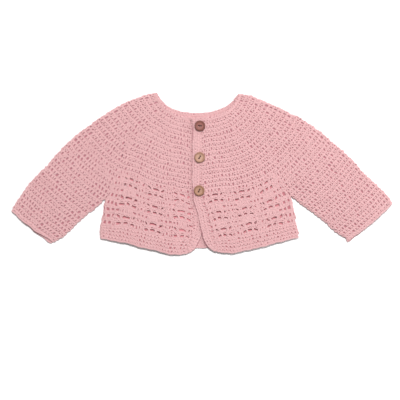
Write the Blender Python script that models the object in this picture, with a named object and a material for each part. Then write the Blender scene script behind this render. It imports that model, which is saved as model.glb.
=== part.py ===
"""Baby cardigan in crochet, size 3 to 6 months, buttoned and laid flat on its back.

+X runs across the cardigan, +Y towards the neck and +Z up from the surface it lies on. Sizes are in
millimetres from the middle of the outline, and are turned to metres where a mesh is made. "left" and
"right" are the sides as seen from above. The right front lies on the left one.

The body is worked in rows that run down from the neck, so a place on a front is given as (u, v): u counts
lace motifs across from the front edge, and v counts lace repeats down, with the bars of lace at 1, 2 and 3.
"""

import math

import bmesh
import bpy
import numpy as np

MM = 0.001
CENTRE = (-0.05, -0.01)     # middle of the outline, which goes to the origin

WALL = 2.2                  # thickness of the crochet
SEAM = 0.3                  # gap between neighbouring pieces
LAYER = WALL + SEAM         # one layer of cloth and the gap over it
MIDDLE = WALL + SEAM / 2    # height at which upper and lower layer meet along a fold
PUFF = 1.8                  # how far the upper layer stands off the lower one
PUFF_REACH = 32.0           # distance from a fold at which it stands off fully
STEP_WIDTH = 34.0           # width over which a front comes down to its neighbour
LEFT_STEP = -50.0           # x from which the left front comes down to lie flat under the right one
RIGHT_STEP = 4.0            # x from which the right front comes down from the left one
HEM_STEP = (-89.0, 14.0)    # y from which, and height over which, it comes down at the hem

NECK_EDGING = 4.2
HEM_EDGING = 5.8
CORNER = 2.2                # how far the hem's corners are rounded off
BACK_HEM_EDGING = 5.0
EDGE_DROP = 0.28            # share of the wall that an edging's free edge is rounded off by, on each side

BUTTON_DIAMETER = 15.0
BUTTON_HEIGHT = 3.4
BUTTON_HOLE = 1.9
BUTTON_SIDES = 28
# Section of a button from the middle of its back round to its face: distance in from the edge, and height.
BUTTON_SECTION = ((7.5, 0.0), (1.6, 0.0), (0.4, 0.9), (0.0, 1.9), (0.5, 3.0), (1.3, BUTTON_HEIGHT),
                  (2.3, 2.9), (3.4, 2.3), (7.5, 2.1))

V_TOP = -3.4                # neck and shoulder
V_CHEST = 0.55              # last plain row above the lace
V_UNDERARM = 2.17
V_HEM = 4.1
U_PEAK = 2.0                # where the neck meets the shoulder
U_SIDE = 3.75               # armhole, and the side below it
REPEAT = 25.0               # height of a lace repeat
# Rows of points in the yoke, and all the way down a front band.
YOKE_ROWS = (V_TOP, V_TOP + WALL / REPEAT, -2.85, -2.25, -1.65, -1.05, -0.45, 0.1, V_CHEST)
BAND_ROWS = (V_TOP, -2.6, -1.8, -1.0, -0.2, V_CHEST, 1.0, 1.4, 1.8, 2.2, 2.6, 3.0, 3.3, 3.6, 3.75, 3.87,
             3.97, V_HEM)

# Folds along the outline, from the neck to the armhole.
SHOULDER = {
    "left": ((-63.6, 112.8), (-81.0, 109.3), (-95.1, 104.3), (-111.9, 97.2)),
    "right": ((51.4, 111.5), (67.3, 109.1), (84.1, 102.1), (103.7, 94.0)),
}

# Side of the body below the underarm: v, x, y.
SIDE = {
    "left": ((V_UNDERARM, -134.3, -33.7), (2.6, -137.2, -46.0), (3.0, -137.4, -57.0),
             (3.5, -141.6, -71.5), (V_HEM, -142.4, -84.0)),
    "right": ((V_UNDERARM, 123.3, -30.4), (2.6, 126.6, -43.0), (3.0, 128.9, -55.5),
              (3.5, 131.2, -68.5), (V_HEM, 134.4, -83.0)),
}

# Where a body row ends on the armhole: v, and the share of the way from the shoulder to the underarm.
ARMHOLE_ROWS = ((V_TOP, 0.0), (V_CHEST, 0.68), (1.0, 0.77), (2.0, 0.95), (V_UNDERARM, 1.0))

# Flattened sleeve from the armhole to the cuff: upper x, upper y, lower x, lower y, bow of the section.
SLEEVE = {
    "left": (
        (-111.9, 97.2, -134.3, -33.7, 13.5),
        (-127.0, 88.2, -138.5, -38.0, 11.0),
        (-142.7, 78.0, -144.5, -43.8, 8.0),
        (-159.5, 65.7, -151.8, -49.6, 5.5),
        (-176.3, 52.8, -159.8, -55.6, 3.5),
        (-193.1, 37.6, -168.2, -63.4, 2.0),
        (-209.9, 19.5, -177.0, -71.2, 1.0),
        (-226.7, 1.3, -186.0, -80.0, 0.0),
        (-244.6, -18.2, -195.5, -88.6, 0.0),
        (-263.4, -47.4, -207.6, -94.6, -1.0),
    ),
    "right": (
        (103.7, 94.0, 123.3, -30.4, -18.0),
        (117.7, 87.0, 130.2, -35.4, -15.0),
        (134.0, 78.8, 138.0, -41.0, -11.0),
        (150.5, 69.4, 146.5, -47.4, -8.0),
        (167.5, 56.6, 155.0, -53.6, -5.0),
        (184.5, 42.2, 163.8, -60.0, -3.0),
        (202.0, 27.2, 173.2, -67.4, -1.5),
        (219.0, 8.8, 182.6, -76.4, -0.5),
        (238.5, -10.4, 192.6, -84.8, 0.0),
        (262.6, -35.6, 202.6, -91.0, 2.5),
    ),
}
# Free edge of each cuff: upper x, upper y, lower x, lower y, bow.
CUFF_EDGE = {
    "left": (-266.4, -52.2, -212.0, -98.0, -1.5),
    "right": (266.1, -42.0, 205.0, -95.0, 3.5),
}
# How far a cuff's lower layer reaches past its upper one at the lower fold, and its share at the upper fold.
CUFF_PEEK = {"left": 2.4, "right": 1.2}
LEAST_PEEK = 0.3

# Plan of each front: v, then x and y of the band's seam and of the first, second and third lace motif.
FRONT = {
    "left": (
        (V_TOP, -14.9, 73.5, -33.0, 79.0, -67.5, 111.6, -88.0, 106.8),
        (V_CHEST, -14.9, -22.0, -27.6, -19.0, -64.0, -11.5, -97.0, 3.0),
        (1.0, -14.9, -34.2, -27.4, -30.7, -64.5, -22.8, -99.0, -8.5),
        (2.0, -12.3, -57.5, -28.5, -53.4, -65.0, -47.0, -102.3, -35.0),
        (3.0, -13.9, -82.0, -27.3, -79.4, -68.5, -71.5, -105.6, -61.3),
        (V_HEM, -21.0, -105.0, -33.0, -107.0, -71.0, -99.8, -108.0, -90.6),
    ),
    "right": (
        (V_TOP, 0.2, 73.5, 18.0, 79.0, 55.6, 110.7, 76.0, 105.4),
        (V_CHEST, 0.2, -21.5, 18.2, -18.0, 54.5, -14.0, 88.0, -1.0),
        (1.0, 1.2, -33.5, 18.3, -29.5, 55.3, -25.8, 89.5, -12.9),
        (2.0, 7.8, -57.5, 23.2, -54.4, 59.1, -49.4, 94.2, -39.0),
        (3.0, 13.4, -81.0, 30.2, -78.0, 65.2, -71.0, 100.2, -62.6),
        (V_HEM, 21.5, -103.4, 38.0, -104.6, 71.0, -98.8, 105.0, -90.3),
    ),
}
U_SEAM = {"left": 0.62, "right": 0.50}      # the band's seam

# Free edge of each front band, round the corner to the hem: v, x, y.
BAND_EDGE = {
    "left": ((V_TOP, -0.4, 73.5), (V_CHEST, -0.4, -22.0), (1.0, -0.2, -33.8), (2.0, 2.2, -57.0),
             (3.0, 0.8, -82.0), (3.6, -3.4, -96.0), (3.85, -9.0, -104.8), (V_HEM, -19.3, -110.9)),
    "right": ((V_TOP, -14.6, 73.5), (V_CHEST, -14.6, -22.0), (1.0, -14.2, -33.4), (2.0, -6.6, -58.6),
              (3.0, -2.4, -81.0), (3.6, 4.2, -99.4), (3.85, 10.6, -105.8), (V_HEM, 20.3, -109.2)),
}

# Neckline of each front from the band's seam to the shoulder, and of the back from left to right, as x, y.
FRONT_NECK = {
    "left": ((-14.9, 78.0), (-36.3, 83.2), (-50.3, 92.3), (-58.9, 103.6), (-63.6, 112.8)),
    "right": ((0.2, 78.0), (10.0, 78.9), (27.0, 83.4), (40.2, 92.3), (47.6, 102.8), (51.4, 111.5)),
}
BACK_NECK = ((-62.9, 112.6), (-59.2, 106.6), (-52.2, 98.0), (-36.5, 89.0), (-18.1, 85.4), (0.1, 85.3),
             (18.3, 88.1), (36.0, 95.6), (47.2, 105.8), (50.8, 111.3))

# Middle of the back at each row, as v, y, and how fast the rows rise from there to the sides.
BACK_MIDDLE = ((V_TOP, 79.0), (V_CHEST, -20.5), (1.0, -32.0), (2.0, -56.0), (3.0, -80.0), (V_HEM, -98.4))
BACK_RISE = 1.7
BACK_PEAK = 0.56            # share of the way from the middle to the side where the neck meets the shoulder
SHOULDER_START = 50.0       # length of the shoulder that the neck edgings are fitted to
BACK_MOTIFS = (-116.0, -83.0, -46.0, -4.0, 41.0, 77.0, 105.0)   # x of the back's lace motifs at lace row 2

# A lace motif: three gaps over three, as distances from its middle in motif pitches and in repeats.
MOTIF_PITCH = 35.8
GAP_COLUMNS = (-12.2, -7.2, -4.2, 4.2, 7.2, 12.2)
UPPER_GAPS = (-0.06, 0.06)
LOWER_GAPS = (0.27, 0.39)
# How far each column of a motif is raised in its upper and its lower gaps, which slant them.
UPPER_SLANT = (2.4, 0.5, 0.0, 0.0, 0.5, 2.4)
LOWER_SLANT = (-1.2, 0.0, 0.5, 0.5, 0.0, -1.2)
REPEATS = (1, 2, 3)
FRONT_MOTIFS = (1, 2, 3)
NEAR_SIDE = WALL            # distance from the side of the last column of points before it

# Points across a flattened tube: distances from a fold outside and inside, and shares of the width between.
OUTER_FOLD = (0.0, 0.7, MIDDLE)
INNER_FOLD = (WALL, WALL + 0.5, WALL + 1.6)
ACROSS_TUBE = (0.12, 0.25, 0.38, 0.5, 0.62, 0.75, 0.88)

# Buttons from the neck down: x, y, turn of the pair of holes in degrees, distance between them.
BUTTONS = ((-2.8, 66.8, 0.0, 3.2), (-3.2, 22.8, 57.0, 3.9), (-3.8, -23.4, 64.0, 3.9))


def linear(hex_colour):
    """An sRGB hex colour as linear RGBA."""
    channels = [int(hex_colour[i:i + 2], 16) / 255 for i in (1, 3, 5)]
    return [c / 12.92 if c <= 0.04045 else ((c + 0.055) / 1.055) ** 2.4 for c in channels] + [1.0]


def material(name, colour, roughness):
    made = bpy.data.materials.new(name)
    made.use_nodes = True
    shader = made.node_tree.nodes["Principled BSDF"]
    shader.inputs["Base Color"].default_value = linear(colour)
    shader.inputs["Roughness"].default_value = roughness
    shader.inputs["Metallic"].default_value = 0.0
    return made


def add_mesh(name, points, faces, finish):
    """A piece from points in millimetres, with its faces turned outwards."""
    shifted = [((x - CENTRE[0]) * MM, (y - CENTRE[1]) * MM, z * MM) for x, y, z in points]
    mesh = bpy.data.meshes.new(name)
    mesh.from_pydata(shifted, [], faces)
    shell = bmesh.new()
    shell.from_mesh(mesh)
    bmesh.ops.recalc_face_normals(shell, faces=shell.faces)
    shell.to_mesh(mesh)
    shell.free()
    mesh.materials.append(finish)
    mesh.shade_smooth()
    mesh.set_sharp_from_angle(angle=math.radians(40))
    piece = bpy.data.objects.new(name, mesh)
    bpy.context.scene.collection.objects.link(piece)
    return piece


def ease(t):
    """0 to 1, level at both ends."""
    t = np.clip(t, 0.0, 1.0)
    return t * t * (3 - 2 * t)


def smooth(table, at):
    """Values at `at` on a smooth curve through a table of places, in its first column, and values."""
    table = np.asarray(table, float)
    knots, values = table[:, 0], table[:, 1:]
    steps = np.diff(knots)[:, None]
    slopes = np.diff(values, axis=0) / steps
    tangents = np.vstack([slopes[:1], slopes[:1], slopes[1:]])
    weight = steps[:-1] / (steps[:-1] + steps[1:])
    tangents[1:-1] = slopes[:-1] * (1 - weight) + slopes[1:] * weight
    tangents[-1] = slopes[-1]
    at = np.clip(np.atleast_1d(np.asarray(at, float)), knots[0], knots[-1])
    cell = np.clip(np.searchsorted(knots, at, side="right") - 1, 0, len(steps) - 1)
    h = steps[cell]
    t = ((at - knots[cell]) / h[:, 0])[:, None]
    before = values[cell] * (1 + 2 * t) * (1 - t) ** 2 + values[cell + 1] * t * t * (3 - 2 * t)
    return before + h * (tangents[cell] * t * (1 - t) ** 2 - tangents[cell + 1] * t * t * (1 - t))


def path(points, shares):
    """Points at these shares of the length of a smooth path through `points`."""
    points = np.asarray(points, float)
    run = np.concatenate([[0.0], np.cumsum(np.hypot(*np.diff(points, axis=0).T))])
    return smooth(np.column_stack([run / run[-1], points]), shares)


def moved_sideways(points, distance):
    """A path moved to its left-hand side by a distance, which may differ from point to point."""
    along = np.gradient(points, axis=0)
    along /= np.hypot(*along.T)[:, None]
    return points + np.column_stack([-along[:, 1], along[:, 0]]) * np.reshape(distance, (-1, 1))


def armhole(side, share):
    """The line on which body and sleeve meet, from the shoulder (0) to the underarm (1)."""
    return section(SLEEVE[side][0], share)


def section(station, share):
    """A line across the sleeve from its upper to its lower fold, bowed to one side."""
    upper_x, upper_y, lower_x, lower_y, bow = station
    share = np.atleast_1d(np.asarray(share, float))
    x = upper_x + (lower_x - upper_x) * share + bow * 4 * share * (1 - share)
    y = upper_y + (lower_y - upper_y) * share
    return np.column_stack([x, y])


def side_line(side, v):
    """The end of each body row: on the armhole, or on the side below the underarm."""
    v = np.atleast_1d(np.asarray(v, float))
    on_armhole = armhole(side, np.interp(v, *zip(*ARMHOLE_ROWS)))
    return np.where((v < V_UNDERARM)[:, None], on_armhole, smooth(SIDE[side], v))


def fold_lines(side):
    """The folds of one side: shoulder and top of the sleeve, then underside of the sleeve and side."""
    sleeve = np.asarray(SLEEVE[side])
    cuff = CUFF_EDGE[side]
    upper = np.vstack([SHOULDER[side], sleeve[1:, :2], cuff[:2]])
    lower = np.vstack([cuff[2:4], sleeve[::-1, 2:4], np.asarray(SIDE[side])[1:, 1:]])
    return upper, lower


def distance_to_folds(points):
    """Distance in plan from each point to the nearest fold."""
    points = np.asarray(points, float)
    nearest = np.full(len(points), np.inf)
    for line in fold_lines("left") + fold_lines("right"):
        for start, end in zip(line[:-1], line[1:]):
            run = end - start
            share = np.clip((points - start) @ run / (run @ run), 0.0, 1.0)
            nearest = np.minimum(nearest, np.hypot(*(points - start - share[:, None] * run).T))
    return nearest


def lift(side, points):
    """How far the underside of the upper layer stands over its place on the lower one."""
    x, y = np.asarray(points, float).T
    puff = PUFF * ease(distance_to_folds(points) / PUFF_REACH)
    if side == "left":
        return puff * (1 - ease((x - LEFT_STEP) / STEP_WIDTH))
    hem_y, hem_height = HEM_STEP
    over_left_front = (1 - ease((x - RIGHT_STEP) / STEP_WIDTH)) * (1 - ease((hem_y - y) / hem_height))
    return puff * (1 - over_left_front) + LAYER * over_left_front


def rim(points):
    """1 inside a panel, falling to a half on its folds, which rounds the wall off there."""
    inward = np.minimum(distance_to_folds(points) / WALL, 1.0)
    return 0.5 + 0.5 * np.sqrt(1 - (1 - inward) ** 2)


def upper_wall(side, points):
    """Underside and top of the upper layer."""
    bottom = LAYER + lift(side, points)
    return bottom, bottom + WALL * rim(points)


def lower_wall(points):
    """Underside and top of the lower layer, which lies on the surface."""
    return WALL - WALL * rim(points), np.full(len(points), WALL)


def slab(name, plan, wall, finish, gaps=(), coarse_rows=(), coarse_columns=()):
    """A wall over a grid of points in plan, rows by columns. `wall` gives its underside and top.

    `gaps` are the cells left open, as (row, column). Rows in `coarse_rows` use only the columns in
    `coarse_columns`.
    """
    rows, columns = plan.shape[:2]
    used = [sorted(coarse_columns) if row in coarse_rows else list(range(columns)) for row in range(rows)]
    index = {}
    for row in range(rows):
        for column in used[row]:
            index[row, column] = len(index)
    flat = np.array([plan[key] for key in index])
    bottom, top = wall(flat)
    count = len(flat)
    upper = []
    for row in range(rows - 1):
        shared = used[row] if len(used[row]) <= len(used[row + 1]) else used[row + 1]
        for first, last in zip(shared[:-1], shared[1:]):
            if (row, first) in gaps:
                continue
            near = [index[row, c] for c in used[row] if first <= c <= last]
            far = [index[row + 1, c] for c in used[row + 1] if first <= c <= last]
            upper.append(near + far[::-1])
    edges = {}
    for face in upper:
        for edge in zip(face, face[1:] + face[:1]):
            edges[edge] = edge
    open_edges = [edge for edge in edges if edge[::-1] not in edges]
    faces = list(upper)
    faces += [[count + i for i in face[::-1]] for face in upper]
    faces += [[b, a, count + a, count + b] for a, b in open_edges]
    points = [(*p, z) for p, z in zip(flat, top)] + [(*p, z) for p, z in zip(flat, bottom)]
    return add_mesh(name, points, faces, finish)


def front_plan(side, u, v):
    """Points of a front at every v (rows) and u (columns)."""
    u, v = np.asarray(u, float), np.asarray(v, float)
    knots = (U_SEAM[side], 1.0, 2.0, 3.0, U_SIDE)
    columns = smooth(FRONT[side], v).reshape(len(v), 4, 2)
    columns = np.concatenate([columns, side_line(side, v)[:, None]], axis=1)
    plan = np.array([smooth(np.column_stack([knots, row]), u) for row in columns])
    # The top row follows the neckline and the shoulder, and the rows below ease into their own line.
    top = front_top(side, u)
    level = smooth(np.column_stack([knots, smooth(FRONT[side], [V_TOP]).reshape(4, 2).tolist()
                                    + side_line(side, [V_TOP]).tolist()]), u)
    fade = np.clip((V_CHEST - v) / (V_CHEST - V_TOP), 0.0, 1.0) ** 2
    return plan + fade[:, None, None] * (top - level)


def beside_neck(neck, shares, distance, ends):
    """Points at these shares of a neckline, moved into the cloth. `ends` are the shoulders it ends on."""
    spread = np.linspace(0.0, 1.0, 81)
    inside = moved_sideways(path(neck, spread), distance)
    for end, shoulder in ends:
        inside[end] = path(SHOULDER[shoulder], abs(distance) / SHOULDER_START)[0]
    return np.column_stack([np.interp(shares, spread, axis) for axis in inside.T])


def front_neck(side, u, distance):
    """The neckline of a front at columns u, moved into the cloth by a distance."""
    share = np.clip((np.asarray(u) - U_SEAM[side]) / (U_PEAK - U_SEAM[side]), 0.0, 1.0)
    towards_cloth = 1 if side == "left" else -1
    return beside_neck(FRONT_NECK[side], share, towards_cloth * distance, [(-1, side)])


def front_top(side, u):
    """The upper edge of a front: its neckline, inside the neck edging, then the shoulder."""
    on_neck = front_neck(side, u, NECK_EDGING + SEAM)
    along_shoulder = np.clip((u - U_PEAK) / (U_SIDE - U_PEAK), 0.0, 1.0)
    shoulder = np.vstack([front_neck(side, [U_PEAK], NECK_EDGING + SEAM), SHOULDER[side][1:]])
    return np.where((u <= U_PEAK)[:, None], on_neck, path(shoulder, along_shoulder))


def row_levels():
    """v of the rows of points in a panel, and those of them that start a row of gaps."""
    lace = [repeat + level for repeat in REPEATS for level in UPPER_GAPS + LOWER_GAPS]
    above_hem = (lace[-1] + V_HEM) / 2
    gap_rows = [len(YOKE_ROWS) + 2 * i for i in range(2 * len(REPEATS))]
    return np.array([*YOKE_ROWS, *lace, above_hem, V_HEM]), gap_rows, range(1, len(YOKE_ROWS))


def slanted(plan, rows_of_gaps, first_columns):
    """Raises and lowers the corners of the gaps, so that a motif's outer gaps slant."""
    plan = plan.copy()
    for i, row in enumerate(rows_of_gaps):
        slant = LOWER_SLANT if i % 2 else UPPER_SLANT
        for column in first_columns:
            for offset, raised in enumerate(slant):
                plan[row:row + 2, column + offset, 1] += raised
    return plan


def gap_cells(rows_of_gaps, first_columns):
    columns = [first + offset for first in first_columns for offset in (0, 2, 4)]
    return {(row, column) for row in rows_of_gaps for column in columns}


def front_columns(side):
    """u of the columns of points in a front: those of its gaps, and one near its folded side."""
    gaps = [motif + offset / MOTIF_PITCH for motif in FRONT_MOTIFS for offset in GAP_COLUMNS]
    return np.array([U_SEAM[side], *gaps, U_SIDE - NEAR_SIDE / MOTIF_PITCH, U_SIDE])


def front(side, finish):
    v, gap_rows, yoke = row_levels()
    first_columns = [1 + len(GAP_COLUMNS) * i for i in range(len(FRONT_MOTIFS))]
    plan = slanted(front_plan(side, front_columns(side), v), gap_rows, first_columns)
    last = plan.shape[1] - 1
    coarse = [0, *range(3, last - 1, 3), last - 1, last]
    return slab(f"front_{side}", plan, lambda p: upper_wall(side, p), finish,
                gap_cells(gap_rows, first_columns), yoke, coarse)


def back_plan(share, v):
    """Points of the back at every v (rows) and share (columns), from the left side (-1) to the right (1)."""
    share = np.asarray(share, float)
    left, right = side_line("left", v), side_line("right", v)
    middle = smooth(BACK_MIDDLE, v)
    ends = np.where((share < 0)[None, :, None], left[:, None], right[:, None])
    out = np.abs(share)[None, :]
    x = ends[..., 0] * out
    y = middle + (ends[..., 1] - middle) * out ** BACK_RISE
    plan = np.dstack([x, y])
    top = back_top(share)
    fade = np.clip((V_CHEST - v) / (V_CHEST - V_TOP), 0.0, 1.0) ** 2
    return plan + fade[:, None, None] * (top - plan[0])


def back_neck(share, distance):
    """The back neckline at columns of the back, moved into the cloth by a distance."""
    along = np.clip((np.asarray(share) + BACK_PEAK) / (2 * BACK_PEAK), 0.0, 1.0)
    return beside_neck(BACK_NECK, along, -distance, [(0, "left"), (-1, "right")])


def back_top(share):
    """The upper edge of the back: its neckline, inside the neck edging, between the shoulders."""
    on_neck = back_neck(share, NECK_EDGING + SEAM)
    ends = back_neck([-BACK_PEAK, BACK_PEAK], NECK_EDGING + SEAM)
    out = np.clip((np.abs(share) - BACK_PEAK) / (1 - BACK_PEAK), 0.0, 1.0)
    on_left = path(np.vstack([ends[:1], SHOULDER["left"][1:]]), out)
    on_right = path(np.vstack([ends[1:], SHOULDER["right"][1:]]), out)
    on_shoulder = np.where((share < 0)[:, None], on_left, on_right)
    return np.where((np.abs(share) <= BACK_PEAK)[:, None], on_neck, on_shoulder)


def back_columns():
    """Columns of points in the back, as shares of the way from the middle to its sides."""
    left, right = [abs(side_line(side, [2.0])[0, 0]) for side in ("left", "right")]
    gaps = [middle + offset for middle in BACK_MOTIFS for offset in GAP_COLUMNS]
    shares = [x / (left if x < 0 else right) for x in gaps]
    return np.array([-1.0, NEAR_SIDE / left - 1, *shares, 1 - NEAR_SIDE / right, 1.0])


def back(finish):
    v, gap_rows, yoke = row_levels()
    share = back_columns()
    first_columns = [2 + len(GAP_COLUMNS) * i for i in range(len(BACK_MOTIFS))]
    plan = slanted(back_plan(share, v), gap_rows, first_columns)
    last = len(share) - 1
    coarse = [0, 1, *range(4, last - 2, 3), last - 1, last]
    return slab("back_panel", plan, lower_wall, finish, gap_cells(gap_rows, first_columns), yoke, coarse)


def rounded_strip(name, inner, outer, wall, finish):
    """A narrow wall between two paths, rounded off along the outer one."""
    width = np.hypot(*(outer - inner).T)[:, None]
    shoulder = inner + (outer - inner) * (1 - WALL / 2 / width)
    plan = np.stack([inner, shoulder, outer], axis=1)
    free_edge = {tuple(point) for point in outer}

    def rounded(points):
        bottom, top = wall(points)
        on_edge = np.array([tuple(point) in free_edge for point in points])
        drop = np.where(on_edge, WALL * EDGE_DROP, 0.0)
        return bottom + drop, top - drop

    return slab(name, plan, rounded, finish)


def front_band(side, finish):
    seam = front_plan(side, [U_SEAM[side]], BAND_ROWS)[:, 0]
    away = 1 if side == "left" else -1
    inner, outer = moved_sideways(seam, away * SEAM), smooth(BAND_EDGE[side], BAND_ROWS)
    return rounded_strip(f"band_{side}", inner, outer, lambda p: upper_wall(side, p), finish)


def front_neck_edging(side, finish):
    """A strip round the neckline of a front, from the free edge of its band to the shoulder."""
    u = front_columns(side)
    u = np.array([*u[u < U_PEAK - 0.02], U_PEAK])
    inner, outer = front_neck(side, u, NECK_EDGING), front_neck(side, u, 0.0)
    band_x = BAND_EDGE[side][0][1]
    across_band = np.array([[band_x, 0.0], [(band_x + outer[0, 0]) / 2, 0.0]])
    inner = np.vstack([across_band + [0.0, inner[0, 1]], inner])
    outer = np.vstack([across_band + [0.0, outer[0, 1]], outer])
    return rounded_strip(f"neck_edging_{side}", inner, outer, lambda p: upper_wall(side, p), finish)


def back_neck_edging(finish):
    share = back_columns()
    share = np.array([-BACK_PEAK, *share[np.abs(share) < BACK_PEAK - 0.01], BACK_PEAK])
    return rounded_strip("neck_edging_back", back_neck(share, NECK_EDGING), back_neck(share, 0.0),
                         lower_wall, finish)


def hem_edging(name, row, width, round_ends, wall, finish):
    """A strip under a row of points that runs from left to right, with these of its ends rounded off."""
    outer = moved_sideways(row, -width)
    for end in round_ends:
        outer[end] += [-CORNER * np.sign(row[end, 0]), CORNER / 2]
    return rounded_strip(name, moved_sideways(row, -SEAM), outer, wall, finish)


def front_hem(side, finish):
    row = front_plan(side, front_columns(side), [V_HEM])[0]
    if side == "left":
        row = row[::-1]
    side_end = 0 if side == "left" else -1
    return hem_edging(f"hem_edging_{side}", row, HEM_EDGING, [side_end],
                      lambda p: upper_wall(side, p), finish)


def back_hem(finish):
    row = back_plan(back_columns(), np.array([V_HEM]))[0]
    return hem_edging("hem_edging_back", row, BACK_HEM_EDGING, [0, -1], lower_wall, finish)


def tube(name, side, stations, finish, peek=0.0):
    """A flattened tube through stations across the sleeve, open at both ends, with an even wall."""
    rings = []
    back_along = np.array(stations[-2][:2]) - np.array(stations[-1][:2])
    back_along /= np.hypot(*back_along)
    for number, station in enumerate(stations):
        width = math.hypot(station[2] - station[0], station[3] - station[1])
        outer_steps = np.array([*np.divide(OUTER_FOLD, width), *ACROSS_TUBE,
                                *(1 - np.divide(OUTER_FOLD[::-1], width))])
        inner_steps = np.array([*np.divide(INNER_FOLD, width), *ACROSS_TUBE,
                                *(1 - np.divide(INNER_FOLD[::-1], width))])
        outer, inner = section(station, outer_steps), section(station, inner_steps)
        edge = np.minimum(outer_steps, 1 - outer_steps) * width
        half = MIDDLE * np.sqrt(np.clip(1 - (1 - np.minimum(edge / MIDDLE, 1.0)) ** 2, 0.0, 1.0))
        inner_half = np.full(len(inner), SEAM / 2)
        inner_half[[0, -1]] = 0.0
        raised = np.where(edge > 0, lift(side, outer), 0.0)
        lining = np.where(inner_half > 0, lift(side, inner), 0.0)
        last = number == len(stations) - 1
        pull = np.linspace(LEAST_PEEK, 1.0, len(outer))[:, None] * (peek if last else 0.0) * back_along
        upper_outer = np.column_stack([outer + pull, MIDDLE + half + raised])
        lower_outer = np.column_stack([outer, MIDDLE - half])
        upper_inner = np.column_stack([inner + pull, MIDDLE + inner_half + lining])
        lower_inner = np.column_stack([inner, MIDDLE - inner_half])
        rings.append((np.vstack([upper_outer, lower_outer[-2:0:-1]]),
                      np.vstack([upper_inner, lower_inner[-2:0:-1]])))
    around = len(rings[0][0])
    points = [tuple(p) for pair in rings for ring in pair for p in ring]
    faces = []
    for number in range(len(rings)):
        outer, inner = 2 * around * number, 2 * around * number + around
        for i in range(around):
            j = (i + 1) % around
            if number + 1 < len(rings):
                ahead = 2 * around
                faces.append([outer + i, outer + j, outer + j + ahead, outer + i + ahead])
                faces.append([inner + j, inner + i, inner + i + ahead, inner + j + ahead])
            if number == 0:
                faces.append([outer + j, outer + i, inner + i, inner + j])
            if number + 1 == len(rings):
                faces.append([outer + i, outer + j, inner + j, inner + i])
    return add_mesh(name, points, faces, finish)


def shifted_station(station, distance):
    """A sleeve station moved square to itself, towards the cuff."""
    along = np.array([station[2] - station[0], station[3] - station[1]])
    along /= np.hypot(*along)
    across = np.array([along[1], -along[0]])
    if across[1] > 0:
        across = -across
    dx, dy = across * distance
    return (station[0] + dx, station[1] + dy, station[2] + dx, station[3] + dy, station[4])


def sleeve(side, finish):
    outwards = -1 if side == "left" else 1
    upper_x, upper_y, lower_x, lower_y, bow = SLEEVE[side][0]
    clear = outwards * 1.5 * SEAM
    first = (upper_x + clear, upper_y, lower_x + clear, lower_y, bow)
    tube(f"sleeve_{side}", side, [first, *SLEEVE[side][1:]], finish)


def cuff(side, finish):
    start = shifted_station(SLEEVE[side][-1], SEAM)
    end = CUFF_EDGE[side]
    middle = tuple(np.add(start, end) / 2)
    tube(f"cuff_{side}", side, [start, middle, end], finish, CUFF_PEEK[side])


def button(number, x, y, turn, hole_distance, finish):
    """A turned wooden button with a raised rim, a dished face and two holes."""
    turned = bmesh.new()
    radius = BUTTON_DIAMETER / 2
    ring = [turned.verts.new(((radius - inset) * MM, 0.0, z * MM)) for inset, z in BUTTON_SECTION]
    edges = [turned.edges.new(pair) for pair in zip(ring[:-1], ring[1:])]
    bmesh.ops.spin(turned, geom=ring + edges, axis=(0, 0, 1), cent=(0, 0, 0), angle=2 * math.pi,
                   steps=BUTTON_SIDES, use_merge=True)
    bmesh.ops.remove_doubles(turned, verts=turned.verts, dist=0.01 * MM)
    bmesh.ops.recalc_face_normals(turned, faces=turned.faces)
    mesh = bpy.data.meshes.new(f"button_{number}")
    turned.to_mesh(mesh)
    turned.free()
    mesh.materials.append(finish)
    mesh.shade_smooth()
    mesh.set_sharp_from_angle(angle=math.radians(35))
    piece = bpy.data.objects.new(f"button_{number}", mesh)
    piece.location = ((x - CENTRE[0]) * MM, (y - CENTRE[1]) * MM, (2 * LAYER + WALL + SEAM) * MM)
    piece.rotation_euler = (0.0, 0.0, math.radians(turn))
    bpy.context.scene.collection.objects.link(piece)
    for end in (-1, 1):
        bpy.ops.mesh.primitive_cylinder_add(vertices=12, radius=BUTTON_HOLE / 2 * MM,
                                            depth=4 * BUTTON_HEIGHT * MM)
        drill = bpy.context.object
        drill.name = f"drill_{number}_{end}"
        drill.parent = piece
        drill.location = (end * hole_distance / 2 * MM, 0.0, 0.0)
        drill.hide_render = True
        drill.display_type = "WIRE"
        cut = piece.modifiers.new("hole", "BOOLEAN")
        cut.operation = "DIFFERENCE"
        cut.object = drill
    return piece


def main():
    for item in list(bpy.data.objects):
        bpy.data.objects.remove(item)
    pink = material("pink cotton crochet", "#E5ACAF", 0.85)
    edging_pink = material("pink cotton edging", "#DFA3A7", 0.85)
    dark_wood = material("stained wood", "#8C5E58", 0.45)
    pale_wood = material("coconut wood", "#C9A186", 0.5)

    back(pink)
    for side in ("left", "right"):
        front(side, pink)
        sleeve(side, pink)
        cuff(side, edging_pink)
        front_band(side, edging_pink)
        front_hem(side, edging_pink)
        front_neck_edging(side, edging_pink)
    back_neck_edging(edging_pink)
    back_hem(edging_pink)
    for number, (x, y, turn, hole_distance) in enumerate(BUTTONS, 1):
        button(number, x, y, turn, hole_distance, dark_wood if number == 1 else pale_wood)


main()
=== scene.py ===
"""Looks of a crocheted baby cardigan, laid flat on its back with its front buttoned.

The frame gives every node of the cardigan at its real size. Here each panel gets a thin inner cloth and, on
it, the stitches themselves: a double crochet is a post of two strands with a third round them, and a V of
yarn on top. "left" and "right" are the sides as seen from above. Sizes are in millimetres unless a name says
otherwise, and a count in np.linspace says how finely a line is divided.
"""

import math

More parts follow.
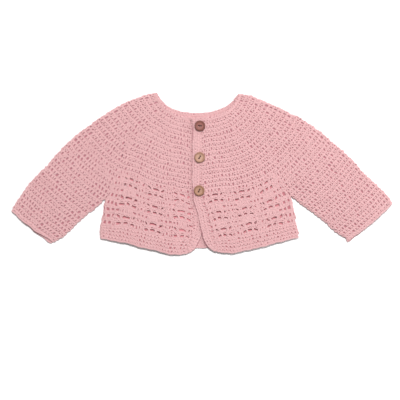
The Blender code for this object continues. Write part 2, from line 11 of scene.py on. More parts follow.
import bmesh
import bpy
import numpy as np
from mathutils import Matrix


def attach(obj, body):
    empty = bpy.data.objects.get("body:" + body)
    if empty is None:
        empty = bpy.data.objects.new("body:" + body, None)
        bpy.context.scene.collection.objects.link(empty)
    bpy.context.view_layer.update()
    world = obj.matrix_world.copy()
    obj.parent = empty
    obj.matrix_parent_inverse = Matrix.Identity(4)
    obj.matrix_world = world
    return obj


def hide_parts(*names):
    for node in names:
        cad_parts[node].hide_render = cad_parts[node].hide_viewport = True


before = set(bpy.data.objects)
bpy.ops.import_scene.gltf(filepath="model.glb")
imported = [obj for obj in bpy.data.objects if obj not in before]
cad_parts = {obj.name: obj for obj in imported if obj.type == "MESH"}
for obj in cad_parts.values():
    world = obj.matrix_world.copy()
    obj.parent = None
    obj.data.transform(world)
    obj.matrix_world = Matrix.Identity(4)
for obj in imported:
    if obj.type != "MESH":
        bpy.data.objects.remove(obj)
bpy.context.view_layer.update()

MM = 0.001
SIDES = ("left", "right")
CENTRE = (-0.05, -0.01)  # middle of the outline, which goes to the origin

WALL = 2.2  # thickness of the crochet
SEAM = 0.3  # gap between neighbouring pieces
LAYER = WALL + SEAM  # one layer of cloth and the gap over it
MIDDLE = WALL + SEAM / 2  # height at which upper and lower layer meet along a fold
PUFF = 1.8  # how far the upper layer stands off the lower one
PUFF_REACH = 32.0  # distance from a fold at which it stands off fully
STEP_WIDTH = 34.0  # width over which a front comes down to its neighbour
LEFT_STEP = -50.0  # x from which the left front comes down to lie flat under the right one
RIGHT_STEP = 4.0  # x from which the right front comes down from the left one
HEM_STEP = (-89.0, 14.0)  # y from which, and height over which, it comes down at the hem

NECK_EDGING = 4.2
HEM_EDGING = 5.8
BACK_HEM_EDGING = 5.0
CORNER = 2.2  # how far the hem's corners are rounded off
BAND_END = 0.02  # how far above the hem a band ends, in lace repeats

BUTTON_DIAMETER = 15.0
# Section of a button from the middle of its back round to its face: distance in from the edge, and height.
BUTTON_SECTION = ((7.5, 0.0), (1.6, 0.0), (0.4, 0.9), (0.0, 1.9), (0.5, 3.0), (1.3, 3.4), (2.3, 2.9),
                  (3.4, 2.3), (7.5, 2.1))

# Rows of the body, v, count lace repeats down from the first lace. Columns of a front, u, count its motifs.
V_TOP = -3.4  # neck and shoulder
V_CHEST = 0.55  # last plain row above the lace
V_UNDERARM = 2.17
V_HEM = 4.1
U_PEAK = 2.0  # where the neck meets the shoulder
U_SIDE = 3.75  # armhole, and the side below it

# Folds along the outline, from the neck to the armhole.
SHOULDER = {
    "left": ((-63.6, 112.8), (-81.0, 109.3), (-95.1, 104.3), (-111.9, 97.2)),
    "right": ((51.4, 111.5), (67.3, 109.1), (84.1, 102.1), (103.7, 94.0)),
}

# Side of the body below the underarm: v, x, y.
SIDE = {
    "left": ((V_UNDERARM, -134.3, -33.7), (2.6, -137.2, -46.0), (3.0, -137.4, -57.0),
             (3.5, -141.6, -71.5), (V_HEM, -142.4, -84.0)),
    "right": ((V_UNDERARM, 123.3, -30.4), (2.6, 126.6, -43.0), (3.0, 128.9, -55.5),
              (3.5, 131.2, -68.5), (V_HEM, 134.4, -83.0)),
}

# Where a body row ends on the armhole: v, and the share of the way from the shoulder to the underarm.
ARMHOLE_ROWS = ((V_TOP, 0.0), (V_CHEST, 0.68), (1.0, 0.77), (2.0, 0.95), (V_UNDERARM, 1.0))

# Flattened sleeve from the armhole to the cuff: upper x, upper y, lower x, lower y, bow of the section.
SLEEVE = {
    "left": (
        (-111.9, 97.2, -134.3, -33.7, 13.5),
        (-127.0, 88.2, -138.5, -38.0, 11.0),
        (-142.7, 78.0, -144.5, -43.8, 8.0),
        (-159.5, 65.7, -151.8, -49.6, 5.5),
        (-176.3, 52.8, -159.8, -55.6, 3.5),
        (-193.1, 37.6, -168.2, -63.4, 2.0),
        (-209.9, 19.5, -177.0, -71.2, 1.0),
        (-226.7, 1.3, -186.0, -80.0, 0.0),
        (-244.6, -18.2, -195.5, -88.6, 0.0),
        (-263.4, -47.4, -207.6, -94.6, -1.0),
    ),
    "right": (
        (103.7, 94.0, 123.3, -30.4, -18.0),
        (117.7, 87.0, 130.2, -35.4, -15.0),
        (134.0, 78.8, 138.0, -41.0, -11.0),
        (150.5, 69.4, 146.5, -47.4, -8.0),
        (167.5, 56.6, 155.0, -53.6, -5.0),
        (184.5, 42.2, 163.8, -60.0, -3.0),
        (202.0, 27.2, 173.2, -67.4, -1.5),
        (219.0, 8.8, 182.6, -76.4, -0.5),
        (238.5, -10.4, 192.6, -84.8, 0.0),
        (262.6, -35.6, 202.6, -91.0, 2.5),
    ),
}
# Free edge of each cuff: upper x, upper y, lower x, lower y, bow.
CUFF_EDGE = {
    "left": (-266.4, -52.2, -212.0, -98.0, -1.5),
    "right": (266.1, -42.0, 205.0, -95.0, 3.5),
}
# How far a cuff's lower layer reaches past its upper one at the lower fold, and its share at the upper fold.
CUFF_PEEK = {"left": 2.4, "right": 1.2}
LEAST_PEEK = 0.3

# Plan of each front: v, then x and y of the band's seam and of the first, second and third lace motif.
FRONT = {
    "left": (
        (V_TOP, -14.9, 73.5, -33.0, 79.0, -67.5, 111.6, -88.0, 106.8),
        (V_CHEST, -14.9, -22.0, -27.6, -19.0, -64.0, -11.5, -97.0, 3.0),
        (1.0, -14.9, -34.2, -27.4, -30.7, -64.5, -22.8, -99.0, -8.5),
        (2.0, -12.3, -57.5, -28.5, -53.4, -65.0, -47.0, -102.3, -35.0),
        (3.0, -13.9, -82.0, -27.3, -79.4, -68.5, -71.5, -105.6, -61.3),
        (V_HEM, -21.0, -105.0, -33.0, -107.0, -71.0, -99.8, -108.0, -90.6),
    ),
    "right": (
        (V_TOP, 0.2, 73.5, 18.0, 79.0, 55.6, 110.7, 76.0, 105.4),
        (V_CHEST, 0.2, -21.5, 18.2, -18.0, 54.5, -14.0, 88.0, -1.0),
        (1.0, 1.2, -33.5, 18.3, -29.5, 55.3, -25.8, 89.5, -12.9),
        (2.0, 7.8, -57.5, 23.2, -54.4, 59.1, -49.4, 94.2, -39.0),
        (3.0, 13.4, -81.0, 30.2, -78.0, 65.2, -71.0, 100.2, -62.6),
        (V_HEM, 21.5, -103.4, 38.0, -104.6, 71.0, -98.8, 105.0, -90.3),
    ),
}
U_SEAM = {"left": 0.62, "right": 0.50}  # the band's seam

# Free edge of each front band, round the corner to the hem: v, x, y.
BAND_EDGE = {
    "left": ((V_TOP, -0.4, 73.5), (V_CHEST, -0.4, -22.0), (1.0, -0.2, -33.8), (2.0, 2.2, -57.0),
             (3.0, 0.8, -82.0), (3.6, -3.4, -96.0), (3.85, -9.0, -104.8), (V_HEM, -19.3, -110.9)),
    "right": ((V_TOP, -14.6, 73.5), (V_CHEST, -14.6, -22.0), (1.0, -14.2, -33.4), (2.0, -6.6, -58.6),
              (3.0, -2.4, -81.0), (3.6, 4.2, -99.4), (3.85, 10.6, -105.8), (V_HEM, 20.3, -109.2)),
}

# Neckline of each front from the band's seam to the shoulder, and of the back from left to right, as x, y.
FRONT_NECK = {
    "left": ((-14.9, 78.0), (-36.3, 83.2), (-50.3, 92.3), (-58.9, 103.6), (-63.6, 112.8)),
    "right": ((0.2, 78.0), (10.0, 78.9), (27.0, 83.4), (40.2, 92.3), (47.6, 102.8), (51.4, 111.5)),
}
BACK_NECK = ((-62.9, 112.6), (-59.2, 106.6), (-52.2, 98.0), (-36.5, 89.0), (-18.1, 85.4), (0.1, 85.3),
             (18.3, 88.1), (36.0, 95.6), (47.2, 105.8), (50.8, 111.3))

# Middle of the back at each row, as v, y, and how fast the rows rise from there to the sides.
BACK_MIDDLE = ((V_TOP, 79.0), (V_CHEST, -20.5), (1.0, -32.0), (2.0, -56.0), (3.0, -80.0), (V_HEM, -98.4))
BACK_RISE = 1.7
BACK_PEAK = 0.56  # share of the way from the middle to the side where the neck meets the shoulder
SHOULDER_START = 50.0  # length of the shoulder that the neck edgings are fitted to
BACK_MOTIFS = (-116.0, -83.0, -46.0, -4.0, 41.0, 77.0, 105.0)  # x of the back's lace motifs at lace row 2

# Places of the lace's repeats (rows) and of a front's motifs (columns).
REPEATS = (1, 2, 3)
FRONT_MOTIFS = (1, 2, 3)
MOTIF_PITCH = 35.8  # from one motif of a front to the next

# The yoke runs on over the armhole on to the top of the sleeve, as far as this place on the sleeve's fold.
YOKE_END = {"left": (-171.6, 56.4), "right": (151.5, 68.6)}
YOKE_BULGE = 2.0  # how far its last row bows out on the way there
V_YOKE_END = 0.615  # its last row on the body
YOKE_EDGES = np.linspace(0.0, 1.0, 16)  # the lines between its 15 rows
ARMHOLE_REACH = (-0.3, 1.3)  # how far the armhole's line is drawn on to part its stitches

# Stitches and their yarn.
STITCH = 4.85  # width of a double crochet
ROW = 6.6  # height of a row of them
UNDER_STITCH = 5.4  # stitches on the underside are a little coarser
EDGING_STITCH = 4.4  # width of a single crochet
EDGING_INSET = 0.22  # share of an edging's width kept for the chain on its free edge
BAND_ROWS = 3  # rows of single crochet in a front band
YARN = 1.0  # radius of a strand
YARN_SIDES = 5  # faces round a strand
UNDER_SIDES = 4  # and round one on the underside
POST_DEPTH = 1.05  # middle of a post under the cloth's outside
CHAIN_DEPTH = 1.1
INSIDE_PROUD = 0.3  # how far the stitches on the inside of the lower layer stand proud of it
POST_INSET = 1.85  # middle of a row's first post from the row's end
CHAIN_INSET = 0.9  # start of its chain from there
# How far the end stitches of a row set between another's are moved out, and over how many that is taken up.
END_PULL = 0.48
PULL_REACH = 3.0
POST_SPREAD = 1.47  # how wide the strands of a post stand, as a multiple of their table
WIDEST_POST = 1.1  # the most that a wide stitch multiplies that by
POST_YARN = (0.85, 1.25)  # the least and most that it changes the yarn's thickness
CHAIN_SPREAD = 0.6  # the same as POST_SPREAD for the V on top

# How evenly the hand works: changes of a post's spread, where no other measure is named.
SPREAD_CHANGE = 0.24  # slowly over the cloth and along a row
SPREAD_JITTER = 0.25  # from stitch to stitch
POST_JITTER = 0.4  # mm that a post stands off its place
POST_LEAN = (0.7, 0.3)  # mm that a post leans along its row, and how much that varies
ROW_TONE = 0.25  # change of tone from row to row, beside 1 from stitch to stitch
# The slow change over the cloth: its strength, its share in the spread, and its waves: radians per mm to the
# right and up, and where each starts.
PATCH_STRENGTH = 0.55
PATCH_SHARE = 0.85
PATCH_WAVES = ((0.13, 0.05, 0.0), (-0.04, 0.17, 1.3), (0.09, -0.12, 2.1), (0.24, 0.13, 4.0))
HAND_STRENGTH = 0.5  # of the change along a row, and the lengths of its waves in mm
HAND_WAVES = (61.0, 34.0, 19.0)
LOOSER = (-95.0, 45.0, 0.9)  # the left sleeve: where it starts, over how many mm and by how much
CLOSER = ((2.0, 50.0), (62.0, 48.0), 0.85)  # the fronts beside the bands: middle, reach and by how much
ROW_WAVE = 0.5  # mm that a row wanders off its line, by the same slow change with x and y scaled
WANDER_SCALES = ((1.7, -1.9), (2.1, 1.6))
WANDER_START = 40.0
FOLD_HOLD = (2.0, 8.0)  # mm from a fold where it starts, and over which it grows

# Cuffs: how far the upper and lower layer's edge is rounded off at the lower fold, in mm, and over what share
# of its width, and how far out the inner cloth reaches at the two folds, as a share of the edging's width.
CUFF_CORNER = {"left": ((5.5, 0.24), (2.2, 0.09)), "right": ((0.0, 1.0), (0.0, 1.0))}
CUFF_CLOTH = {"left": (0.8, 0.15), "right": (0.8, 0.7)}
CUFF_SHOWS = 1.7  # how many times as far as in the solid the lower layer shows

# The inner cloth, which stands for the back of the stitches.
CLOTH_DEPTH = 1.5  # its outside under the stitches' outside
CLOTH = 0.45  # its thickness
CLOTH_CREASE = 45.0  # degrees over which its edges stay sharp
FOLD_STEPS = np.array([0.0, 0.4, 1.2])  # where its points lie beside a sleeve's fold
FLAT_START = 0.06  # share of the sleeve's width after which they are evenly spread
STRIP_DEPTH = 1.3  # its outside in an edging
STRIP = (-0.06, 0.9)  # where it starts and ends in an edging, as shares of the width
BACK_TOP = WALL - CLOTH  # top of the back's
LACE_LIFT = 0.6  # how much higher that is in the lace
BACK_STRIP = (0.9, 1.4)  # heights of its underside and top in the back's edgings
# Steps of its grid: down in lace repeats, across a front in motifs and across the back in shares of it.
ROW_STEP = 0.12
FRONT_STEP = 0.07
BACK_STEP = 0.02
NEXT_TO_TOP = -3.3  # its second row
EDGE_ROOM = (0.03, 0.01)  # distance of its second column from the side, in a front and in the back
# Where the inside of the back shows: to each side of the middle at the neck and at the hem, and at the hem
# below this lace row. The lace's lift, its painted shade and its painted glow fade over 6 mm beside it and
# over these lace rows above it.
SEEN_INSIDE = (70.0, 16.0)
HEM_SHOWS = 3.0
SEEN_FADE = (6.0, 0.35, 0.3)

# A lace repeat has three rows: two of gaps and one of close fans. Where each starts, as shares of its height.
LACE_ROWS = (-0.13, 0.2, 0.53)
LACE_CHAIN = (1.42, 1.15)  # spread and thickness of its chains, which are drawn up more than others
FILL_CHAIN = (0.9, 0.95)  # the same for a second chain on each row
FILL_ABOVE = 0.075  # how far above the row's end that lies, in repeats
LACE_START = 0.15  # height over which the lace's look begins, in repeats
# Posts round a motif's gaps, as distance from its middle and slant, in its upper and lower row.
POSTS = {"upper": ((-12.6, -0.8), (-5.4, 0.7), (5.4, -0.7), (12.6, 0.8)),
         "lower": ((-11.4, 1.3), (-3.8, 1.0), (3.8, -1.0), (11.4, -1.3))}
GAP_STITCH = 4.8  # width of such a post
BETWEEN_PITCH = 5.0  # from post to post between motifs
BETWEEN_WIDTH = 3.5  # width of such a post
FAN_WIDTH = 17.0  # width of a fan's end, its stitches and the width of one
FAN_STITCHES = 7
FAN_STITCH = 4.25
FAN_START = 0.75  # width of a fan where it starts, as a share of where it ends
HEM_ROWS = 3  # plain rows under the lace
HEM_SLIM = 0.91  # width of a post in the plain rows beside the lace, as a share of others
SEAM_HOLE = 1.8  # how much wider than others the holes along the bands are
# How far the gaps' rows are drawn up at these distances from a motif's middle, which slants the gaps.
SLANT_AT = (0.0, 3.6, 5.8, 13.0)
UPPER_SLANT = (1.7, 1.6, -1.1, 4.8)
LOWER_SLANT = (2.4, 0.2, 1.3, -3.4)
LACE_MIDDLES = (0.0, 0.33)  # middles of those rows, and how far up and down it reaches, in repeats
LACE_REACH = 0.27
LACE_HALF = 13.0  # half the width over which it is full, and the width beside that where it fades
LACE_FADE = 4.0
# Cuts in the inner cloth under the gaps: sides of three gaps from a motif's middle, and rows in repeats.
CUT_COLUMNS = ((-12.2, -7.2, -4.2, 4.2, 7.2, 12.2), (-10.6, -5.4, -3.0, 3.0, 5.4, 10.6))
CUT_ROWS = ((-0.085, 0.075), (0.245, 0.405))
BACK_CUT_COLUMNS = (-10.7, -8.5, -2.4, 2.4, 8.5, 10.7)
BACK_CUT_ROWS = ((-0.03, 0.03), (0.3, 0.36))

# Buttons, from the neck down: x, y, turn in degrees and distance between the two holes.
BUTTONS = ((-2.8, 66.8, 0.0, 3.2), (-3.2, 22.8, 57.0, 3.9), (-3.8, -23.4, 64.0, 3.9))
BUTTON_SEAT = 2 * LAYER + WALL + SEAM  # height of a button's back
BUTTON_STEPS = 72  # faces round a button
BUTTON_CREASE = 35.0  # degrees over which its edges stay sharp
BUTTON_WELD = 0.005  # points nearer than this are made one
HOLE_WIDTH = 2.3
HOLE_SIDES = 28
DRILL_LENGTH = 20.0  # far longer than the button is high
RIM = (2.6, 1.1, 0.8)  # where the rim's painted shade starts, over what width it grows and how strong it is
THREAD = 0.28  # radius of the thread, and distance of each of its two runs from the middle
THREAD_SIDES = 6
THREAD_POINTS = 11
THREAD_PINCH = 1.1  # how the runs come together at the holes: less 1 is what is left of that distance
THREAD_HEIGHT = 2.25  # over the button's back at the holes, and how much higher it is between them
THREAD_BOW = 0.35
THREAD_DIVE = (0.8, 2.2)  # share of the way to a hole where it turns down, and how deep it goes

# Yarn. The plies turn once in PLY_LAY; a real one's 1.5 wouldn't show.
PLY_LAY = 2.6
GROOVE = 0.07  # how much of the painted shade colour darkens the grooves between them
FUZZ = 1.5  # size of its fibres' unevenness
CLOUD = 28.0  # size of the patches in which its shade changes slowly
TONE_CHANGE = 0.045  # change of shade from stitch to stitch, and between such patches
CLOUD_CHANGE = 0.5
YARN_LIGHT = "#D8AFB0"
YARN_SHADE = "#CB9C9E"
# painted shade laid into the grooves between the plies
YARN_GROOVE_SHADE = "#A87478"
YARN_SHEEN = "#FBE3E3"
# Inner cloth, painted darker than the yarn as the shade deep in the crochet: painted light and shade on its
# grain's bumps, then the same, redder, in the lace, in the fronts and in the back.
GRAIN = 1.6  # size of the stitches' backs, drawn as bumps, painted lighter on top of them and darker between
FRONT_DEPTH_PAINTED_SHADE = ("#B57D84", "#A36D75", "#B8777E", "#A3656D")
BACK_DEPTH_PAINTED_SHADE = ("#D6A4A7", "#C8969A", "#D08A90", "#BB747C")
# Painted light: how strongly the back's inner cloth glows in the lace, for the light that comes through the
# front's yarn.
LACE_PAINTED_GLOW = 0.2
# Thread: its plies turn once in THREAD_LAY. Its plies get painted light and its grooves painted shade.
THREAD_LAY = 0.9
THREAD_LIGHT = "#5A352C"
THREAD_SHADE = "#3B201A"
# The three buttons' wood: its name, and its pale, middle and dark streaks, and the painted shade on its rim.
WOODS = (("stained coconut shell", "#B87A6E", "#84504A", "#3E1C16", "#714840"),
         ("coconut shell", "#EAC2AA", "#B08671", "#583527", "#936C58"),
         ("darker coconut shell", "#D8AD93", "#A57A62", "#502F20", "#8A634C"))
STREAK = 1.5  # width of the wood's streaks, which is this share of their length
STREAK_STRETCH = 0.3
WOOD_CLOUD = 6.0  # size of its cloudy patches

CAMERA_PLACE = (-2.65, -36.5)  # the middle of the view
VIEW_WIDTH = 560.0
LENS = 100.0
SENSOR = 36.0
# The floor's half width and its height, in metres.
FLOOR_REACH = 3.0
FLOOR_HEIGHT = -0.0005
# Name, place in metres, size in metres and power in watts.
SOFT_LIGHTS = (("key", (0.08, 0.85, 2.1), 0.4, 48.5), ("fill", (1.2, 0.35, 0.8), 0.9, 8.0))
WORLD_LIGHT = 0.365

SEED = 7  # of every random change
FINE = 400  # points on a path where the one nearest to a place is looked for


def ease(t):
    """0 to 1, level at both ends."""
    t = np.clip(t, 0.0, 1.0)
    return t * t * (3 - 2 * t)


def smooth(table, at):
    """Values at `at` on a smooth curve through a table of places, in its first column, and values."""
    table = np.asarray(table, float)
    knots, values = table[:, 0], table[:, 1:]
    steps = np.diff(knots)[:, None]
    slopes = np.diff(values, axis=0) / steps
    tangents = np.vstack([slopes[:1], slopes[:1], slopes[1:]])
    weight = steps[:-1] / (steps[:-1] + steps[1:])
    tangents[1:-1] = slopes[:-1] * (1 - weight) + slopes[1:] * weight
    tangents[-1] = slopes[-1]
    at = np.clip(np.atleast_1d(np.asarray(at, float)), knots[0], knots[-1])
    cell = np.clip(np.searchsorted(knots, at, side="right") - 1, 0, len(steps) - 1)
    h = steps[cell]
    t = ((at - knots[cell]) / h[:, 0])[:, None]
    before = values[cell] * (1 + 2 * t) * (1 - t) ** 2 + values[cell + 1] * t * t * (3 - 2 * t)
    return before + h * (tangents[cell] * t * (1 - t) ** 2 - tangents[cell + 1] * t * t * (1 - t))


def lengths(points):
    """Distance along a path up to each of its points."""
    return np.concatenate([[0.0], np.cumsum(np.hypot(*np.diff(points, axis=0).T))])


def path(points, shares):
    """Points at these shares of the length of a smooth path through `points`."""
    points = np.asarray(points, float)
    run = lengths(points)
    return smooth(np.column_stack([run / run[-1], points]), shares)


def moved_sideways(points, distance):
    """A path moved to its left-hand side by a distance."""
    along = np.gradient(points, axis=0)
    along /= np.hypot(*along.T)[:, None]
    return points + np.column_stack([-along[:, 1], along[:, 0]]) * distance


def section(station, share):
    """A line across the sleeve from its upper to its lower fold, bowed to one side."""
    upper_x, upper_y, lower_x, lower_y, bow = station
    share = np.atleast_1d(np.asarray(share, float))
    x = upper_x + (lower_x - upper_x) * share + bow * 4 * share * (1 - share)
    y = upper_y + (lower_y - upper_y) * share
    return np.column_stack([x, y])


def armhole(side, share):
    """The line on which body and sleeve meet, from the shoulder (0) to the underarm (1)."""
    return section(SLEEVE[side][0], share)


def side_line(side, v):
    """The end of each body row: on the armhole, or on the side below the underarm."""
    v = np.atleast_1d(np.asarray(v, float))
    on_armhole = armhole(side, np.interp(v, *zip(*ARMHOLE_ROWS)))
    return np.where((v < V_UNDERARM)[:, None], on_armhole, smooth(SIDE[side], v))


def fold_lines(side):
    """The folds of one side: shoulder and top of the sleeve, then underside of the sleeve and side."""
    sleeve = np.asarray(SLEEVE[side])
    cuff = CUFF_EDGE[side]
    upper = np.vstack([SHOULDER[side], sleeve[1:, :2], cuff[:2]])
    lower = np.vstack([cuff[2:4], sleeve[::-1, 2:4], np.asarray(SIDE[side])[1:, 1:]])
    return upper, lower


def distance_to_folds(points):
    """Distance in plan from each point to the nearest fold."""
    nearest = np.full(len(points), np.inf)
    for line in fold_lines("left") + fold_lines("right"):
        for start, end in zip(line[:-1], line[1:]):
            run = end - start
            share = np.clip((points - start) @ run / (run @ run), 0.0, 1.0)
            nearest = np.minimum(nearest, np.hypot(*(points - start - share[:, None] * run).T))
    return nearest


def lift(side, points):
    """How far the upper layer stands off the lower one."""
    x, y = points.T
    puff = PUFF * ease(distance_to_folds(points) / PUFF_REACH)
    if side == "left":
        return puff * (1 - ease((x - LEFT_STEP) / STEP_WIDTH))
    hem_y, hem_height = HEM_STEP
    over_left_front = (1 - ease((x - RIGHT_STEP) / STEP_WIDTH)) * (1 - ease((hem_y - y) / hem_height))
    return puff * (1 - over_left_front) + LAYER * over_left_front


def rounding(points, depth=0.0):
    """Half the height of the folded cloth, less `depth`, which falls to nothing on the folds."""
    half = MIDDLE - depth
    inward = np.clip((distance_to_folds(points) - depth) / half, 0.0, 1.0)
    return half * np.sqrt(1 - (1 - inward) ** 2)


def outside_of_upper(side):
    """The outside of the upper layer, as a function of place and of depth under the surface."""
    return lambda points, depth: MIDDLE + rounding(points, depth) + lift(side, points)


def outside_of_lower(points, depth):
    """The outside of the lower layer, which lies on the surface."""
    return MIDDLE - rounding(points, depth)


def inside_of_lower(points, depth):
    """The inside of the lower layer, which faces up."""
    return np.full(len(points), WALL + INSIDE_PROUD - depth)


def front_plan(side, u, v):
    """Points of a front at every v (rows) and u (columns)."""
    u, v = np.asarray(u, float), np.asarray(v, float)
    knots = (U_SEAM[side], 1.0, 2.0, 3.0, U_SIDE)
    columns = smooth(FRONT[side], v).reshape(len(v), 4, 2)
    columns = np.concatenate([columns, side_line(side, v)[:, None]], axis=1)
    plan = np.array([smooth(np.column_stack([knots, row]), u) for row in columns])
    top = front_top(side, u)
    level = smooth(np.column_stack([knots, smooth(FRONT[side], [V_TOP]).reshape(4, 2).tolist()
                                    + side_line(side, [V_TOP]).tolist()]), u)
    fade = np.clip((V_CHEST - v) / (V_CHEST - V_TOP), 0.0, 1.0) ** 2
    return plan + fade[:, None, None] * (top - level)


def beside_neck(neck, shares, distance, ends):
    """Points at these shares of a neckline, moved into the cloth. `ends` are the shoulders it ends on."""
    spread = np.linspace(0.0, 1.0, 81)
    inside = moved_sideways(path(neck, spread), distance)
    for end, shoulder in ends:
        inside[end] = path(SHOULDER[shoulder], abs(distance) / SHOULDER_START)[0]
    return np.column_stack([np.interp(shares, spread, axis) for axis in inside.T])


def front_neck(side, u, distance):
    """The neckline of a front at columns u, moved into the cloth by a distance."""
    share = np.clip((np.asarray(u) - U_SEAM[side]) / (U_PEAK - U_SEAM[side]), 0.0, 1.0)
    towards_cloth = 1 if side == "left" else -1
    return beside_neck(FRONT_NECK[side], share, towards_cloth * distance, [(-1, side)])


def front_top(side, u):
    """The upper edge of a front: its neckline, inside the neck edging, then the shoulder."""
    on_neck = front_neck(side, u, NECK_EDGING + SEAM)
    along_shoulder = np.clip((u - U_PEAK) / (U_SIDE - U_PEAK), 0.0, 1.0)
    shoulder = np.vstack([front_neck(side, [U_PEAK], NECK_EDGING + SEAM), SHOULDER[side][1:]])
    return np.where((u <= U_PEAK)[:, None], on_neck, path(shoulder, along_shoulder))


def back_plan(share, v):
    """Points of the back at every v (rows) and share (columns), from the left side (-1) to the right (1)."""
    share = np.asarray(share, float)
    left, right = side_line("left", v), side_line("right", v)
    middle = smooth(BACK_MIDDLE, v)
    ends = np.where((share < 0)[None, :, None], left[:, None], right[:, None])
    out = np.abs(share)[None, :]
    x = ends[..., 0] * out
    y = middle + (ends[..., 1] - middle) * out ** BACK_RISE
    plan = np.dstack([x, y])
    top = back_top(share)
    fade = np.clip((V_CHEST - v) / (V_CHEST - V_TOP), 0.0, 1.0) ** 2
    return plan + fade[:, None, None] * (top - plan[0])


def back_neck(share, distance):
    """The back neckline at columns of the back, moved into the cloth by a distance."""
    along = np.clip((np.asarray(share) + BACK_PEAK) / (2 * BACK_PEAK), 0.0, 1.0)
    return beside_neck(BACK_NECK, along, -distance, [(0, "left"), (-1, "right")])


def back_top(share):
    """The upper edge of the back: its neckline, inside the neck edging, between the shoulders."""
    on_neck = back_neck(share, NECK_EDGING + SEAM)
    ends = back_neck([-BACK_PEAK, BACK_PEAK], NECK_EDGING + SEAM)
    out = np.clip((np.abs(share) - BACK_PEAK) / (1 - BACK_PEAK), 0.0, 1.0)
    on_left = path(np.vstack([ends[:1], SHOULDER["left"][1:]]), out)
    on_right = path(np.vstack([ends[1:], SHOULDER["right"][1:]]), out)
    on_shoulder = np.where((share < 0)[:, None], on_left, on_right)
    return np.where((np.abs(share) <= BACK_PEAK)[:, None], on_neck, on_shoulder)


class Field:
    """A patch of cloth in plan: `points` over `rows`, counted away from the neck, and `places` along them."""

    def __init__(self, points, rows=None, places=None):
        self.points = np.asarray(points, float)
        count = self.points.shape
        self.rows = np.linspace(0.0, 1.0, count[0]) if rows is None else np.asarray(rows, float)
        self.places = np.linspace(0.0, 1.0, count[1]) if places is None else np.asarray(places, float)
        self.step = (self.places[-1] - self.places[0]) / FINE
        middle = count[0] // 2, count[1] // 2
        down = self.points[-1, middle[1]] - self.points[0, middle[1]]
        along = self.points[middle[0], middle[1] + 1] - self.points[middle[0], middle[1] - 1]
        self.turn = math.copysign(1.0, along[0] * down[1] - along[1] * down[0])

    def at(self, row, place):
        row, place = np.broadcast_arrays(np.asarray(row, float), np.asarray(place, float))
        r = np.clip(np.searchsorted(self.rows, row, side="right") - 1, 0, len(self.rows) - 2)
        p = np.clip(np.searchsorted(self.places, place, side="right") - 1, 0, len(self.places) - 2)
        s = ((row - self.rows[r]) / (self.rows[r + 1] - self.rows[r]))[..., None]
        t = ((place - self.places[p]) / (self.places[p + 1] - self.places[p]))[..., None]
        near = self.points[r, p] * (1 - t) + self.points[r, p + 1] * t
        far = self.points[r + 1, p] * (1 - t) + self.points[r + 1, p + 1] * t
        return near * (1 - s) + far * s

    def offset(self, row, place, across, down):
        """A place on the field, moved in mm along the row and square to it, away from the neck."""
        inner = np.clip(place, self.places[0] + self.step, self.places[-1] - self.step)
        along = self.at(row, inner + self.step) - self.at(row, inner - self.step)
        along /= np.maximum(np.hypot(along[..., 0], along[..., 1]), 1e-9)[..., None]
        square = np.stack([-along[..., 1], along[..., 0]], axis=-1) * self.turn
        return self.at(row, place) + along * across[..., None] + square * down[..., None]


def between(inner, outer, count=2):
    """A field between two paths that have as many points as each other."""
    share = np.linspace(0.0, 1.0, count)[:, None, None]
    return Field(np.asarray(inner) * (1 - share) + np.asarray(outer) * share)


def filled(inner, outer, start, end, rows=40, places=60):
    """A field inside four paths: the first and last row, and the lines that their ends run along."""
    s, t = np.linspace(0, 1, rows), np.linspace(0, 1, places)
    inner, outer = path(inner, t)[None], path(outer, t)[None]
    start, end = path(start, s)[:, None], path(end, s)[:, None]
    s, t = s[:, None, None], t[None, :, None]
    corners = ((1 - s) * ((1 - t) * inner[:, :1] + t * inner[:, -1:])
               + s * ((1 - t) * outer[:, :1] + t * outer[:, -1:]))
    return Field((1 - s) * inner + s * outer + (1 - t) * start + t * end - corners)


def piece_of_path(points, start, end):
    """The part of a polyline between the places nearest to two points."""
    fine = path(points, np.linspace(0, 1, FINE))
    first, last = [int(np.argmin(np.hypot(*(fine - p).T))) for p in (start, end)]
    return fine[first:last + 1]


def shoulder_fold(side, start):
    """The fold along shoulder and sleeve, from `start` on the neckline to where the yoke's last row ends."""
    return piece_of_path(fold_lines(side)[0], start, YOKE_END[side])


def yoke_edge(side):
    """The last row of the yoke beyond the front: over the armhole and up to the top of the sleeve."""
    start = side_line(side, [V_YOKE_END])[0]
    end = np.asarray(YOKE_END[side])
    share = np.linspace(0, 1, 9)[:, None]
    away = -1 if side == "left" else 1
    bulge = np.array([away * YOKE_BULGE, -YOKE_BULGE])
    return start + (end - start) * share + bulge * (4 * share * (1 - share))


def front_yoke(side):
    """The yoke on a front and over the armhole, from the neck to its last row."""
    u_inner = np.linspace(U_SEAM[side], U_PEAK, 40)
    inner = front_neck(side, u_inner, NECK_EDGING)
    chest = front_plan(side, np.linspace(U_SEAM[side], U_SIDE, 40), [V_YOKE_END])[0]
    outer = np.vstack([chest, yoke_edge(side)[1:]])
    seam = front_plan(side, [U_SEAM[side]], np.linspace(V_TOP, V_YOKE_END, 20))[:, 0]
    seam[0] = inner[0]
    return filled(inner, outer, seam, shoulder_fold(side, inner[-1]))


def back_yoke():
    """The yoke on the back and on the lower layer of both sleeves."""
    inner = back_neck(np.linspace(-BACK_PEAK, BACK_PEAK, 80), NECK_EDGING)
    row = back_plan(np.linspace(-1, 1, 80), np.array([V_YOKE_END]))[0]
    outer = np.vstack([yoke_edge("left")[:0:-1], row, yoke_edge("right")[1:]])
    return filled(inner, outer, shoulder_fold("left", inner[0]), shoulder_fold("right", inner[-1]), 40, 160)


